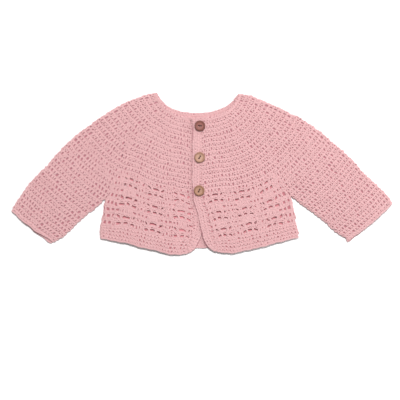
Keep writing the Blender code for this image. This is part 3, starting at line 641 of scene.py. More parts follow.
def sleeve_field(side):
    """The sleeve beyond the yoke: rows across it, from its upper to its lower fold."""
    upper, lower = fold_lines(side)
    start, cuff = side_line(side, [V_YOKE_END])[0], np.asarray(SLEEVE[side][-1])
    top = piece_of_path(upper, YOKE_END[side], cuff[:2])
    underarm = np.asarray(SLEEVE[side][0][2:4])
    on_armhole = piece_of_path(armhole(side, np.linspace(0, 1, 60)), start, underarm)
    under = piece_of_path(lower[::-1], underarm, cuff[2:4])
    bottom = np.vstack([on_armhole, under[1:]])
    last = section(SLEEVE[side][-1], np.linspace(0, 1, 9))
    return filled(yoke_edge(side)[::-1], last, top, bottom, 50, 40)


def lace_rise(v, motifs, places, pitch):
    """How far the lace is drawn up at each v (rows) and place (columns), which slants a motif's gaps."""
    nearest = np.abs(np.subtract.outer(places, motifs)).min(axis=1) * pitch
    rise = np.zeros((len(v), len(places)))
    for middle, slant in zip(LACE_MIDDLES, (UPPER_SLANT, LOWER_SLANT)):
        away = np.abs(np.subtract.outer(v, np.array(REPEATS) + middle)).min(axis=1)
        weight = 1 - ease(away / LACE_REACH)
        reach = 1 - ease((nearest - LACE_HALF) / LACE_FADE)
        rise += weight[:, None] * (np.interp(nearest, SLANT_AT, slant) * reach)[None]
    return rise


def drawn_up(plan, rise):
    """The plan with each point moved up its column by its rise in mm."""
    up = -np.gradient(plan, axis=0)
    up /= np.maximum(np.hypot(up[..., 0], up[..., 1]), 1e-6)[..., None]
    return plan + up * rise[..., None]


def front_lace_plan(side, u, v):
    plan = front_plan(side, u, v)
    return drawn_up(plan, lace_rise(v, FRONT_MOTIFS, u, MOTIF_PITCH))


def back_motifs():
    """Places of the back's motifs as shares of its width, and how many mm make one share."""
    left, right = [abs(side_line(side, [2.0])[0, 0]) for side in SIDES]
    return [x / (left if x < 0 else right) for x in BACK_MOTIFS], (left + right) / 2


def back_lace_plan(share, v):
    motifs, pitch = back_motifs()
    return drawn_up(back_plan(share, v), lace_rise(v, motifs, share, pitch))


def front_lace(side):
    v = np.linspace(V_YOKE_END, V_HEM, 120)
    u = np.linspace(U_SEAM[side], U_SIDE, 180)
    return Field(front_lace_plan(side, u, v), v, u)


def back_lace():
    v = np.linspace(V_YOKE_END, V_HEM, 120)
    share = np.linspace(-1, 1, 300)
    return Field(back_lace_plan(share, v), v, share)


def band_field(side):
    """A front band, from its seam to its free edge."""
    v = np.linspace(V_TOP, V_HEM - BAND_END, 120)
    away = 1 if side == "left" else -1
    seam = moved_sideways(front_plan(side, [U_SEAM[side]], v)[:, 0], away * SEAM)
    return between(seam, smooth(BAND_EDGE[side], v))


def neck_field(side):
    """The neck edging of a front, which runs over the end of the band."""
    u = np.linspace(U_SEAM[side], U_PEAK, 60)
    inner, outer = front_neck(side, u, NECK_EDGING), front_neck(side, u, 0.0)
    band_x = BAND_EDGE[side][0][1]
    across = np.linspace([band_x, 0.0], [outer[0, 0], 0.0], 8)[:-1]
    return between(np.vstack([across + [0.0, outer[0, 1]], outer]),
                   np.vstack([across + [0.0, inner[0, 1]], inner]))


def back_neck_field():
    share = np.linspace(-BACK_PEAK, BACK_PEAK, 90)
    return between(back_neck(share, 0.0), back_neck(share, NECK_EDGING))


def hem_field(row, width, round_ends):
    """An edging under the last row, with its corners at `round_ends` rounded off."""
    outer = moved_sideways(row, -width)
    for end in round_ends:
        outer[end] += [-CORNER * np.sign(row[end, 0]), CORNER / 2]
    return between(moved_sideways(row, -SEAM), outer)


def front_hem_field(side):
    row = front_plan(side, np.linspace(U_SEAM[side], U_SIDE, 60), [V_HEM])[0]
    row = row[::-1] if side == "left" else row
    return hem_field(row, HEM_EDGING, [0 if side == "left" else -1])


def back_hem_field():
    row = back_plan(np.linspace(-1, 1, 120), np.array([V_HEM]))[0]
    return hem_field(row, BACK_HEM_EDGING, [0, -1])


def cuff_field(side, peek, corner):
    """A cuff's edging, drawn back by `peek` mm and rounded off at the lower fold by `corner`."""
    share = np.linspace(0, 1, 30)
    start, end = section(SLEEVE[side][-1], share), section(CUFF_EDGE[side], share)
    back_along = np.array(SLEEVE[side][-1][:2]) - np.array(CUFF_EDGE[side][:2])
    back_along /= np.hypot(*back_along)
    depth, reach = corner
    pull = np.linspace(LEAST_PEEK, 1.0, len(share)) ** 2 * peek
    pull = pull + depth * np.clip(1 - (1 - share) / reach, 0, 1) ** 2
    return between(start, end + back_along * pull[:, None])


# Stitches ----------

# The strands of a double crochet: share of the row's height, distance across in mm, height over the post's
# middle in mm and thickness in yarns. Two run side by side, spread towards the top of the stitch, and the
# third is the yarn that goes round them.
LEFT_STRAND = ((-0.08, -0.85, -0.8, 0.75), (0.15, -0.74, -0.1, 0.95), (0.4, -0.62, 0.12, 1.0),
               (0.75, -1.0, 0.1, 1.06), (1.04, -1.05, -0.6, 0.85))
RIGHT_STRAND = ((-0.08, 0.85, -0.8, 0.75), (0.15, 0.76, -0.05, 0.95), (0.4, 0.66, 0.08, 1.0),
                (0.75, 1.02, 0.12, 1.06), (1.04, 1.05, -0.6, 0.85))
WRAP = ((0.2, -1.15, -0.75, 0.7), (0.36, -0.5, 0.4, 0.8), (0.54, 0.45, 0.42, 0.8), (0.7, 1.3, -0.75, 0.7))
# One arm of the V on top of a stitch: distance along the row as a share of the stitch, distance to its side
# of the row's line and height over the chain's middle in mm, and thickness in yarns.
ARM = ((-0.25, 0.12, -0.7, 0.65), (0.12, 0.55, 0.05, 0.95), (0.58, 0.98, 0.12, 1.0), (1.04, 0.8, -0.55, 0.75))


class Strands:
    """Lengths of yarn: rows of points, the thickness at each and a tone for each length."""

    def __init__(self):
        self.groups = []

    def add(self, points, thickness, tone):
        if len(points):
            self.groups.append((points, np.broadcast_to(thickness, points.shape[:2]), tone))

    def split(self, is_first):
        """Two new lots of strands, parted by where the middle of each lies."""
        first, second = Strands(), Strands()
        for points, thickness, tone in self.groups:
            chosen = is_first(points[:, points.shape[1] // 2, :2])
            first.add(points[chosen], thickness[chosen], tone[chosen])
            second.add(points[~chosen], thickness[~chosen], tone[~chosen])
        return first, second

    def join(self, other):
        self.groups += other.groups


def patches(plan):
    """A slow, even change over the cloth, about -1 to 1, as no two stitches are drawn equally tight."""
    waves = (np.sin(a * plan[:, 0] + b * plan[:, 1] + start) for a, b, start in PATCH_WAVES)
    return PATCH_STRENGTH * sum(waves)


def along_row(middles, draw):
    """A change of the hand along one row, about -1 to 1."""
    run = lengths(middles)
    waves = (np.sin(2 * math.pi * run / length + draw.uniform(0, 2 * math.pi)) for length in HAND_WAVES)
    return HAND_STRENGTH * sum(waves)


def wandering(plan):
    """The plan with each place shifted a little, so that no row runs quite evenly."""
    flat = plan.reshape(-1, 2)
    sideways, up = WANDER_SCALES
    shift = np.column_stack([patches(flat[:, ::-1] * sideways), patches(flat * up + WANDER_START)])
    start, reach = FOLD_HOLD
    hold = ease((distance_to_folds(flat) - start) / reach)[:, None]
    return plan + ROW_WAVE * (shift * hold).reshape(plan.shape)


def lay(field, surface, row, place, across, down, depth):
    """Points of strands on the cloth, strands by points. `depth` is under the cloth's outside."""
    plan = wandering(field.offset(row, place, across, down))
    z = surface(plan.reshape(-1, 2), depth.reshape(-1)).reshape(depth.shape)
    return np.concatenate([plan, z[..., None]], axis=2)


def by_place(middles):
    """How much wider posts stand beside the bands, and narrower on the looser left sleeve."""
    start_x, reach, amount = LOOSER
    looser = amount * ease((start_x - middles[:, 0]) / reach)
    middle, reach, amount = CLOSER
    return amount * np.exp(-(((middles - middle) / reach) ** 2).sum(axis=1)) - looser


def crochet_row(strands, field, surface, rows, tops, bottoms, widths, draw, hand=1, wrap=True):
    """Posts from row to row, at places `tops` above and `bottoms` below. `widths` are in mm."""
    start, end = rows
    count = len(tops)
    tone = draw.normal(0.0, 1.0, count) + draw.normal(0.0, ROW_TONE)
    middles = field.at((start + end) / 2, (tops + bottoms) / 2)
    wide = (PATCH_SHARE * patches(middles) + along_row(middles, draw) + by_place(middles))[:, None]
    size = np.minimum(widths[:, None] / STITCH, WIDEST_POST) * (POST_SPREAD + SPREAD_CHANGE * wide)
    size = size + draw.normal(0.0, SPREAD_JITTER, (count, 1))
    jitter = draw.normal(0.0, POST_JITTER, (count, 1))
    lean = draw.normal(POST_LEAN[0] * hand, POST_LEAN[1], (count, 1))
    for shape in (LEFT_STRAND, RIGHT_STRAND, WRAP)[:3 if wrap else 2]:
        t, across, height, thick = np.array(shape).T
        row = np.broadcast_to(start + (end - start) * t, (count, len(t)))
        place = tops[:, None] + (bottoms - tops)[:, None] * t
        sideways = (-hand if shape is WRAP else 1) * across
        strands.add(lay(field, surface, row, place, sideways * size + lean * (t - 0.5) + jitter,
                        np.zeros_like(row), np.broadcast_to(POST_DEPTH - height, row.shape)),
                    thick * np.clip(size, *POST_YARN), tone)


def chain_row(strands, field, surface, row, places, widths, draw, hand=1, size=(CHAIN_SPREAD, 1.0)):
    """A line of Vs along a row. `size` is their spread and the thickness of their yarn."""
    along, out, height, thick = np.array(ARM).T
    count = len(places)
    tone = draw.normal(0.0, 1.0, count)
    for side in (-1, 1):
        across = (along - 0.5) * hand * widths[:, None]
        down = np.broadcast_to(side * out * size[0], across.shape)
        at = np.broadcast_to(places[:, None], across.shape)
        strands.add(lay(field, surface, np.full(across.shape, float(row)), at, across, down,
                        np.broadcast_to(CHAIN_DEPTH - height, across.shape)), thick * size[1], tone)


def evenly(field, row, width, inset=POST_INSET):
    """Middles of the stitches along a row, whose ends stay clear of its ends, and their width in mm."""
    spread = np.linspace(field.places[0], field.places[-1], 200)
    run = lengths(field.at(row, spread))
    count = max(2, round((run[-1] - 2 * inset) / width) + 1)
    middles = np.linspace(inset, run[-1] - inset, count)
    return np.interp(middles, run, spread), np.full(count, (run[-1] - 2 * inset) / (count - 1))


def chain_places(field, row, width):
    """Middles of the links of a chain along a row, and their width in mm."""
    return evenly(field, row, width, CHAIN_INSET + width / 2)


def set_between(places, widths):
    """The stitches of a row moved half a stitch, so that each stands over a gap of the row before."""
    order = np.arange(len(places) - 1) + 0.5
    from_start, from_end = order - 0.5, order[::-1] - 0.5
    order = order + END_PULL * (np.exp(-from_end / PULL_REACH) - np.exp(-from_start / PULL_REACH))
    return np.interp(order, np.arange(len(places)), places), widths[:-1]


def plain_rows(field, surface, edges, draw, width=STITCH, wrap=True):
    """Rows of double crochet between these edges, with a chain under each."""
    strands = Strands()
    for number, (start, end) in enumerate(zip(edges[:-1], edges[1:])):
        hand = 1 if number % 2 else -1
        places, widths = evenly(field, (start + end) / 2, width)
        if number % 2:
            places, widths = set_between(places, widths)
        crochet_row(strands, field, surface, (start, end), places, places, widths, draw, hand, wrap)
        chain_row(strands, field, surface, end, *chain_places(field, end, width), draw, hand)
    return strands


# The lace ----------


def with_between(middles, widths, motifs, pitch, first, last, half):
    """Adds posts between motifs, which take up `half` mm to each side of their middles."""
    middles, widths = list(middles), list(widths)
    ends = [first, *motifs, last]
    for number, (left, right) in enumerate(zip(ends[:-1], ends[1:])):
        start = left + (half if number else POST_INSET - BETWEEN_PITCH + SEAM_HOLE) / pitch
        end = right - (half if number < len(motifs) else POST_INSET - BETWEEN_PITCH) / pitch
        count = max(0, round((end - start) * pitch / BETWEEN_PITCH) - 1)
        middles += list(start + (end - start) * (np.arange(count) + 1) / (count + 1))
        widths += [BETWEEN_WIDTH] * count
    return np.array(middles), np.array(widths)


def lace_places(motifs, pitch, first, last, posts):
    """Places of the posts of a lace row, above and below, and the width of each."""
    across = [motif + place / pitch for motif in motifs for place, _ in posts]
    half = posts[-1][0]
    tops, widths = with_between(across, [GAP_STITCH] * len(across), motifs, pitch, first, last, half)
    slants = np.zeros(len(tops))
    slants[:len(across)] = [slant / pitch for _ in motifs for _, slant in posts]
    inside = (tops > first) & (tops < last)
    return (tops - slants)[inside], (tops + slants)[inside], widths[inside]


def fan_places(motifs, pitch, first, last):
    """Places of a row of double crochet that has a close fan of stitches under each motif."""
    half = FAN_WIDTH / 2
    spread = np.linspace(-half, half, FAN_STITCHES) / pitch
    fans = np.add.outer(motifs, spread).reshape(-1)
    bottoms, widths = with_between(fans, [FAN_STITCH] * len(fans), motifs, pitch, first, last, half)
    tops = bottoms.copy()
    tops[:len(fans)] = np.add.outer(motifs, spread * FAN_START).reshape(-1)
    inside = (bottoms > first) & (bottoms < last)
    return tops[inside], bottoms[inside], widths[inside]


def lace_panel(field, surface, motifs, pitch, draw, wrap=True):
    """The lace of a front or of the back, and the plain rows above and below it."""
    strands = Strands()
    first, last = field.places[0], field.places[-1]
    levels = [repeat + level for repeat in REPEATS for level in LACE_ROWS]
    edges = [V_YOKE_END, *levels, *np.linspace(levels[-1], V_HEM, HEM_ROWS + 1)[1:]]
    kinds = ["plain", *(["upper", "lower", "fan"] * len(REPEATS))[:-1], *["plain"] * HEM_ROWS]
    for number, (start, end, kind) in enumerate(zip(edges[:-1], edges[1:], kinds)):
        hand = 1 if number % 2 else -1
        if kind in POSTS:
            tops, bottoms, widths = lace_places(motifs, pitch, first, last, POSTS[kind])
        elif kind == "fan":
            tops, bottoms, widths = fan_places(motifs, pitch, first, last)
        else:
            tops, widths = evenly(field, (start + end) / 2, STITCH)
            bottoms, widths = tops, widths * HEM_SLIM
        crochet_row(strands, field, surface, (start, end), tops, bottoms, widths, draw, hand,
                    wrap and kind != "fan")
        size = (CHAIN_SPREAD, 1.0) if kind == "plain" and number else LACE_CHAIN
        chain_row(strands, field, surface, end, *chain_places(field, end, STITCH), draw, hand, size)
        if kind != "plain":
            level = end - FILL_ABOVE
            links = chain_places(field, level, STITCH)
            chain_row(strands, field, surface, level, *links, draw, -hand, FILL_CHAIN)
    return strands


# Nodes and meshes ----------


def linear(hex_colour):
    """An sRGB hex colour as linear RGBA."""
    channels = [int(hex_colour[i:i + 2], 16) / 255 for i in (1, 3, 5)]
    return [c / 12.92 if c <= 0.04045 else ((c + 0.055) / 1.055) ** 2.4 for c in channels] + [1.0]


def feed(node, inputs):
    """Sets a node's inputs, by name or number, to values, or links them to outputs of other nodes."""
    for key, value in inputs.items():
        if isinstance(value, bpy.types.NodeSocket):
            node.id_data.links.new(value, node.inputs[key])
        else:
            node.inputs[key].default_value = value


def add_node(tree, kind, inputs=None, output=0, **settings):
    """Adds a node with its settings and inputs, and returns one of its outputs, or itself if it has none."""
    node = tree.nodes.new(kind)
    for key, value in settings.items():
        setattr(node, key, value)
    feed(node, inputs or {})
    return node.outputs[output] if node.outputs else node


def to_metres(points):
    points = np.asarray(points, float).reshape(-1, 3)
    return (points - (*CENTRE, 0.0)) * MM


def link(name, mesh, finish):
    piece = bpy.data.objects.new(name, mesh)
    bpy.context.scene.collection.objects.link(piece)
    mesh.materials.clear()
    mesh.materials.append(finish)
    return piece


def finished(thing):
    """The mesh that an object's modifiers make. The object itself is removed."""
    graph = bpy.context.evaluated_depsgraph_get()
    mesh = bpy.data.meshes.new_from_object(thing.evaluated_get(graph), depsgraph=graph)
    bpy.data.objects.remove(thing)
    return mesh


def mark(mesh, label, values):
    """Gives the mesh a number at every point, for its material."""
    layer = mesh.attributes.new(label, "FLOAT", "POINT")
    layer.data.foreach_set("value", np.asarray(values).reshape(-1).astype(np.float32))


def yarn_tree():
    """Geometry nodes that make round yarn along every path of a mesh of edges."""
    tree = bpy.data.node_groups.new("round yarn along paths", "GeometryNodeTree")
    for name, kind, direction in (("Geometry", "NodeSocketGeometry", "INPUT"),
                                  ("Yarn radius", "NodeSocketFloat", "INPUT"),
                                  ("Sides", "NodeSocketInt", "INPUT"),
                                  ("Yarn", "NodeSocketMaterial", "INPUT"),
                                  ("Geometry", "NodeSocketGeometry", "OUTPUT")):
        tree.interface.new_socket(name, in_out=direction, socket_type=kind)
    given = add_node(tree, "NodeGroupInput").node.outputs
    paths = add_node(tree, "GeometryNodeMeshToCurve", {"Mesh": given["Geometry"]})
    ring = add_node(tree, "GeometryNodeCurvePrimitiveCircle",
                    {"Resolution": given["Sides"], "Radius": given["Yarn radius"]})
    factor = add_node(tree, "GeometryNodeSplineParameter", output="Factor")
    angle = add_node(tree, "ShaderNodeMath", {0: factor, 1: 2 * math.pi}, operation="MULTIPLY")
    cosine = add_node(tree, "ShaderNodeMath", {0: angle}, operation="COSINE")
    sine = add_node(tree, "ShaderNodeMath", {0: angle}, operation="SINE")
    around = add_node(tree, "ShaderNodeCombineXYZ", {"X": cosine, "Y": sine})
    marked = add_node(tree, "GeometryNodeStoreNamedAttribute",
                      {"Geometry": ring, "Name": "around", "Value": around},
                      data_type="FLOAT_VECTOR", domain="POINT")
    thickness = add_node(tree, "GeometryNodeInputNamedAttribute", {"Name": "thickness"}, "Attribute")
    thick = add_node(tree, "GeometryNodeSetCurveRadius", {"Curve": paths, "Radius": thickness})
    tube = add_node(tree, "GeometryNodeCurveToMesh",
                    {"Curve": thick, "Profile Curve": marked, "Fill Caps": True})
    shaded = add_node(tree, "GeometryNodeSetShadeSmooth", {"Geometry": tube})
    real = add_node(tree, "GeometryNodeRealizeInstances", {"Geometry": shaded})
    coloured = add_node(tree, "GeometryNodeSetMaterial", {"Geometry": real, "Material": given["Yarn"]})
    add_node(tree, "NodeGroupOutput", {"Geometry": coloured})
    return tree


def path_mesh(name, strands):
    """The strands as a mesh of edges, with the length along each, its tone and its thickness."""
    points, edges, along, tones, thick, start = [], [], [], [], [], 0
    for group, thickness, tone in strands.groups:
        count, size = group.shape[:2]
        steps = np.linalg.norm(np.diff(group, axis=1), axis=2)
        along.append(np.hstack([np.zeros((count, 1)), np.cumsum(steps, axis=1)]).reshape(-1))
        tones.append(np.repeat(tone, size))
        thick.append(thickness.reshape(-1))
        index = start + np.arange(count * size).reshape(count, size)
        edges.append(np.stack([index[:, :-1], index[:, 1:]], axis=2).reshape(-1, 2))
        points.append(group.reshape(-1, 3))
        start += count * size
    points, edges = to_metres(np.vstack(points)), np.vstack(edges)
    guide = bpy.data.meshes.new(name)
    guide.vertices.add(len(points))
    guide.vertices.foreach_set("co", points.astype(np.float32).reshape(-1))
    guide.edges.add(len(edges))
    guide.edges.foreach_set("vertices", edges.astype(np.int32).reshape(-1))
    for label, values in (("along", along), ("tone", tones), ("thickness", thick)):
        mark(guide, label, np.concatenate(values))
    guide.update()
    return guide


def yarn_piece(name, strands, tree, finish, radius=YARN, sides=YARN_SIDES):
    """Turns strands into round yarn, as one mesh."""
    holder = link(name + "_paths", path_mesh(name + "_paths", strands), finish)
    modifier = holder.modifiers.new("yarn", "NODES")
    modifier.node_group = tree
    sockets = {item.name: item.identifier for item in tree.interface.items_tree if item.in_out == "INPUT"}
    for label, value in (("Yarn radius", radius * MM), ("Sides", sides), ("Yarn", finish)):
        modifier[sockets[label]] = value
    holder.update_tag()
    mesh = finished(holder)
    mesh.name = name
    return link(name, mesh, finish)


def closed_cloth(name, points, faces, finish, lace=None):
    """A smooth piece of cloth. `lace` says for each point how far it belongs to the lace."""
    mesh = bpy.data.meshes.new(name)
    mesh.from_pydata(to_metres(points).tolist(), [], faces)
    mark(mesh, "lace", np.zeros(len(points)) if lace is None else lace)
    shell = bmesh.new()
    shell.from_mesh(mesh)
    bmesh.ops.delete(shell, geom=[v for v in shell.verts if not v.link_faces], context="VERTS")
    bmesh.ops.recalc_face_normals(shell, faces=shell.faces)
    shell.to_mesh(mesh)
    shell.free()
    mesh.shade_smooth()
    mesh.set_sharp_from_angle(angle=math.radians(CLOTH_CREASE))
    return link(name, mesh, finish)


def cloth_between(name, plan, top, bottom, finish, open_cells=(), lace=None):
    """A thin cloth over a grid of plan points, with the faces of `open_cells` left out."""
    rows, columns = plan.shape[:2]
    flat = plan.reshape(-1, 2)
    count = len(flat)
    upper = [(r * columns + c, (r + 1) * columns + c, (r + 1) * columns + c + 1, r * columns + c + 1)
             for r in range(rows - 1) for c in range(columns - 1) if (r, c) not in open_cells]
    edges = {edge for face in upper for edge in zip(face, face[1:] + face[:1])}
    walls = [(b, a, count + a, count + b) for a, b in edges if (b, a) not in edges]
    lower = [tuple(count + i for i in face[::-1]) for face in upper]
    points = np.vstack([np.column_stack([flat, height]) for height in (top(flat), bottom(flat))])
    share = None if lace is None else np.tile(lace.reshape(-1), 2)
    return closed_cloth(name, points, upper + lower + walls, finish, share)


def tube_cloth(name, side, stations, finish):
    """A flattened tube of cloth through stations across the sleeve, open at both ends."""
    outside = outside_of_upper(side)
    rings = []
    for station in stations:
        width = math.hypot(station[2] - station[0], station[3] - station[1])
        for depth in (CLOTH_DEPTH, CLOTH_DEPTH + CLOTH):
            near_fold = (depth + FOLD_STEPS) / width
            share = np.concatenate([near_fold, np.linspace(FLAT_START, 1 - FLAT_START, 15),
                                    1 - near_fold[::-1]])
            plan = section(station, share)
            above = np.column_stack([plan, outside(plan, depth)])
            below = np.column_stack([plan, outside_of_lower(plan, depth)])
            above[[0, -1], 2] = MIDDLE
            rings.append(np.vstack([above, below[-2:0:-1]]))
    around, last = len(rings[0]), len(stations) - 1
    ahead = 2 * around
    faces = []
    for number in range(len(stations)):
        outer, inner = ahead * number, ahead * number + around
        for i in range(around):
            j = (i + 1) % around
            if number < last:
                faces.append([outer + i, outer + j, outer + j + ahead, outer + i + ahead])
                faces.append([inner + j, inner + i, inner + i + ahead, inner + j + ahead])
            if number in (0, last):
                faces.append([outer + j, outer + i, inner + i, inner + j])
    return closed_cloth(name, np.vstack(rings), faces, finish)


# Panels of inner cloth ----------


def dense(values, step):
    """The values with more put between them, so that none are further apart than a step."""
    filled_in = [values[0]]
    for value in values[1:]:
        count = max(1, math.ceil((value - filled_in[-1]) / step))
        start = filled_in[-1]
        filled_in += [start + (value - start) * (i + 1) / count for i in range(count)]
    return np.array(filled_in)


def gap_spans(middles, columns):
    """From where to where each motif's three gaps reach."""
    return [(middle + columns[i], middle + columns[i + 1]) for middle in middles for i in (0, 2, 4)]


def inside_any(values, spans):
    """Numbers of the cells between the values whose middles lie in a span."""
    middles = (values[:-1] + values[1:]) / 2
    return [i for i, middle in enumerate(middles) if any(low < middle < high for low, high in spans)]


def open_cells(row_values, column_values, row_spans, column_spans):
    """Cells of a grid whose middles lie in a span of rows and a span of columns."""
    columns = inside_any(column_values, column_spans)
    return {(r, c) for r in inside_any(row_values, row_spans) for c in columns}


def panel_rows(cut_rows):
    """Rows of a panel's cloth, and the spans of rows that hold its upper gaps and its lower ones."""
    spans = [[(repeat + low, repeat + high) for repeat in REPEATS] for low, high in cut_rows]
    ends = [v for kind in spans for span in kind for v in span]
    return dense(sorted([V_TOP, NEXT_TO_TOP, V_CHEST, *ends, V_HEM]), ROW_STEP), spans


def lace_share(v, columns):
    """1 in the rows of the lace, 0 above them, for a grid with so many columns."""
    return np.repeat(ease((v - V_YOKE_END) / LACE_START)[:, None], columns, axis=1)


def strip_under(side, depth):
    """Top and underside of an inner cloth of the upper layer at this depth."""
    outside = outside_of_upper(side)
    return lambda points: outside(points, depth), lambda points: outside(points, depth) - CLOTH


def front_cloth(side, finish):
    """A front's inner cloth, from the neck to the hem, cut open under the lace's gaps."""
    v, row_spans = panel_rows(CUT_ROWS)
    spans = [gap_spans(FRONT_MOTIFS, [offset / MOTIF_PITCH for offset in columns]) for columns in CUT_COLUMNS]
    ends = [u for kind in spans for span in kind for u in span]
    u = dense(sorted([U_SEAM[side], *ends, U_SIDE - EDGE_ROOM[0], U_SIDE]), FRONT_STEP)
    plan = wandering(front_lace_plan(side, u, v))
    cells = set.union(*(open_cells(v, u, *pair) for pair in zip(row_spans, spans)))
    return cloth_between(f"front_{side}_cloth", plan, *strip_under(side, CLOTH_DEPTH), finish, cells,
                         lace_share(v, len(u)))


def back_cloth(finish):
    """The back's inner cloth. Where its inside shows between the fronts it hasn't the lace's lift, its redder
    painted shade or its painted glow.
    """
    v, row_spans = panel_rows(BACK_CUT_ROWS)
    motifs, pitch = back_motifs()
    spans = gap_spans(motifs, [offset / pitch for offset in BACK_CUT_COLUMNS])
    side = 1 - EDGE_ROOM[1]
    share = dense(sorted([-1.0, -side, *[x for span in spans for x in span], side, 1.0]), BACK_STEP)
    plan = wandering(back_lace_plan(share, v))
    beside, above, height = SEEN_FADE
    in_middle = 1 - ease((np.abs(plan[..., 0]) - SEEN_INSIDE[1]) / beside)
    shows = in_middle * ease((v - HEM_SHOWS + above) / height)[:, None]
    lace = lace_share(v, len(share)) * (1 - shows)
    top = BACK_TOP + LACE_LIFT * lace.reshape(-1)
    cells = open_cells(v, share, row_spans[0] + row_spans[1], spans)
    return cloth_between("back_cloth", plan, lambda p: top, lambda p: top - CLOTH, finish, cells, lace)


def strip_cloth(name, side, field, finish):
    """The inner cloth of an edging."""
    inner, outer = field.points[0], field.points[-1]
    share = np.linspace(*STRIP, 3)[:, None, None]
    plan = inner * (1 - share) + outer * share
    return cloth_between(name, plan, *strip_under(side, STRIP_DEPTH), finish)


def back_strip_cloth(name, field, finish):
    """The inner cloth of the back's edgings, which lie flat."""
    low, high = BACK_STRIP
    return cloth_between(name, field.points[[0, 1]], lambda p: np.full(len(p), high),
                         lambda p: np.full(len(p), low), finish)


def sleeve_stations(side):
    """Stations of the sleeve's inner cloth, from the armhole to the cuff."""
    table = np.column_stack([np.arange(len(SLEEVE[side])), SLEEVE[side]])
    return smooth(table, np.linspace(0, len(SLEEVE[side]) - 1, 28))


def cuff_stations(side):
    """Stations of the cuff's inner cloth, which ends short of the cuff's edge."""
    start, edge = np.array(SLEEVE[side][-1]), np.array(CUFF_EDGE[side])
    upper, lower = CUFF_CLOTH[side]
    reach = np.array([upper, upper, lower, lower, upper])
    return [start + (edge - start) * reach * share for share in (0.0, 0.5, 1.0)]


# The cardigan ----------


def beyond_armhole(side):
    """Tells which points of the yoke lie on the sleeve's side of the armhole."""
    line = armhole(side, np.linspace(*ARMHOLE_REACH, 60))
    line = line[np.argsort(line[:, 1])]
    away = -1 if side == "left" else 1
    return lambda points: away * points[:, 0] > away * np.interp(points[:, 1], line[:, 1], line[:, 0])


def near_middle(strands, reach):
    near, _ = strands.split(lambda p: np.abs(p[:, 0]) < reach)
    return near


def sleeve_length(side):
    """Length of the sleeve's upper fold beyond the yoke."""
    upper = fold_lines(side)[0]
    return lengths(piece_of_path(upper, YOKE_END[side], SLEEVE[side][-1][:2]))[-1]


def edging_rows(field, surface, rows, draw):
    """Rows of single crochet along an edging, with a chain on its free edge."""
    edges = np.linspace(0.0, 1.0 - EDGING_INSET, rows + 1)
    return plain_rows(field, surface, edges, draw, EDGING_STITCH)


def cuff_rows(side, draw):
    """The stitches of a cuff: on its two outsides, and on the inside of its lower layer."""
    upper_corner, lower_corner = CUFF_CORNER[side]
    upper = cuff_field(side, CUFF_SHOWS * CUFF_PEEK[side], upper_corner)
    strands = edging_rows(upper, outside_of_upper(side), 1, draw)
    for surface in (outside_of_lower, inside_of_lower):
        strands.join(edging_rows(cuff_field(side, 0.0, lower_corner), surface, 1, draw))
    return strands


def make_side(side, pieces, stitch, cloth, draw):
    """One half of the yoke's upper layer, with its front, sleeve, cuff and edgings."""
    outside = outside_of_upper(side)
    yoke = plain_rows(front_yoke(side), outside, YOKE_EDGES, draw)
    on_sleeve, on_front = yoke.split(beyond_armhole(side))
    on_front.join(lace_panel(front_lace(side), outside, FRONT_MOTIFS, MOTIF_PITCH, draw))
    sleeve = sleeve_field(side)
    edges = np.linspace(0.0, 1.0, round(sleeve_length(side) / ROW) + 1)
    on_sleeve.join(plain_rows(sleeve, outside, edges, draw))
    under = plain_rows(sleeve, outside_of_lower, edges, draw, UNDER_STITCH, False)
    stitch(f"front_{side}_stitches", on_front)
    stitch(f"sleeve_{side}_stitches", on_sleeve)
    stitch(f"sleeve_{side}_underside", under, UNDER_SIDES)
    pieces[f"sleeve_{side}"] = tube_cloth(f"sleeve_{side}_cloth", side, sleeve_stations(side), cloth)
    pieces[f"cuff_{side}"] = tube_cloth(f"cuff_{side}_cloth", side, cuff_stations(side), cloth)
    stitch(f"cuff_{side}_stitches", cuff_rows(side, draw))
    pieces[f"front_{side}"] = front_cloth(side, cloth)
    for part, field, rows in (("band", band_field(side), BAND_ROWS), ("neck_edging", neck_field(side), 1),
                              ("hem_edging", front_hem_field(side), 1)):
        name = f"{part}_{side}"
        pieces[name] = strip_cloth(name + "_cloth", side, field, cloth)
        stitch(name + "_stitches", edging_rows(field, outside, rows, draw))


def make_back(pieces, stitch, cloth, back_finish, draw):
    """The back, its edgings, the lower layer of the yoke on the sleeves, and its inside where that shows."""
    yoke = back_yoke()
    worked = plain_rows(yoke, outside_of_lower, YOKE_EDGES, draw, UNDER_STITCH, False)
    on_left, worked = worked.split(beyond_armhole("left"))
    on_right, on_back = worked.split(beyond_armhole("right"))
    motifs, pitch = back_motifs()
    on_back.join(lace_panel(back_lace(), outside_of_lower, motifs, pitch, draw, False))
    stitch("back_stitches", on_back, UNDER_SIDES)
    at_neck = plain_rows(yoke, inside_of_lower, YOKE_EDGES[:3], draw, UNDER_STITCH)
    at_hem = plain_rows(back_lace(), inside_of_lower, np.linspace(HEM_SHOWS, V_HEM, 5), draw, UNDER_STITCH)
    inside = near_middle(at_neck, SEEN_INSIDE[0])
    inside.join(near_middle(at_hem, SEEN_INSIDE[1]))
    stitch("back_inside_stitches", inside)
    stitch("sleeve_left_back_stitches", on_left, UNDER_SIDES)
    stitch("sleeve_right_back_stitches", on_right, UNDER_SIDES)
    pieces["back_panel"] = back_cloth(back_finish)
    for name, field in (("neck_edging_back", back_neck_field()), ("hem_edging_back", back_hem_field())):
        pieces[name] = back_strip_cloth(name + "_cloth", field, cloth)
        stitch(name + "_stitches", edging_rows(field, inside_of_lower, 1, draw))


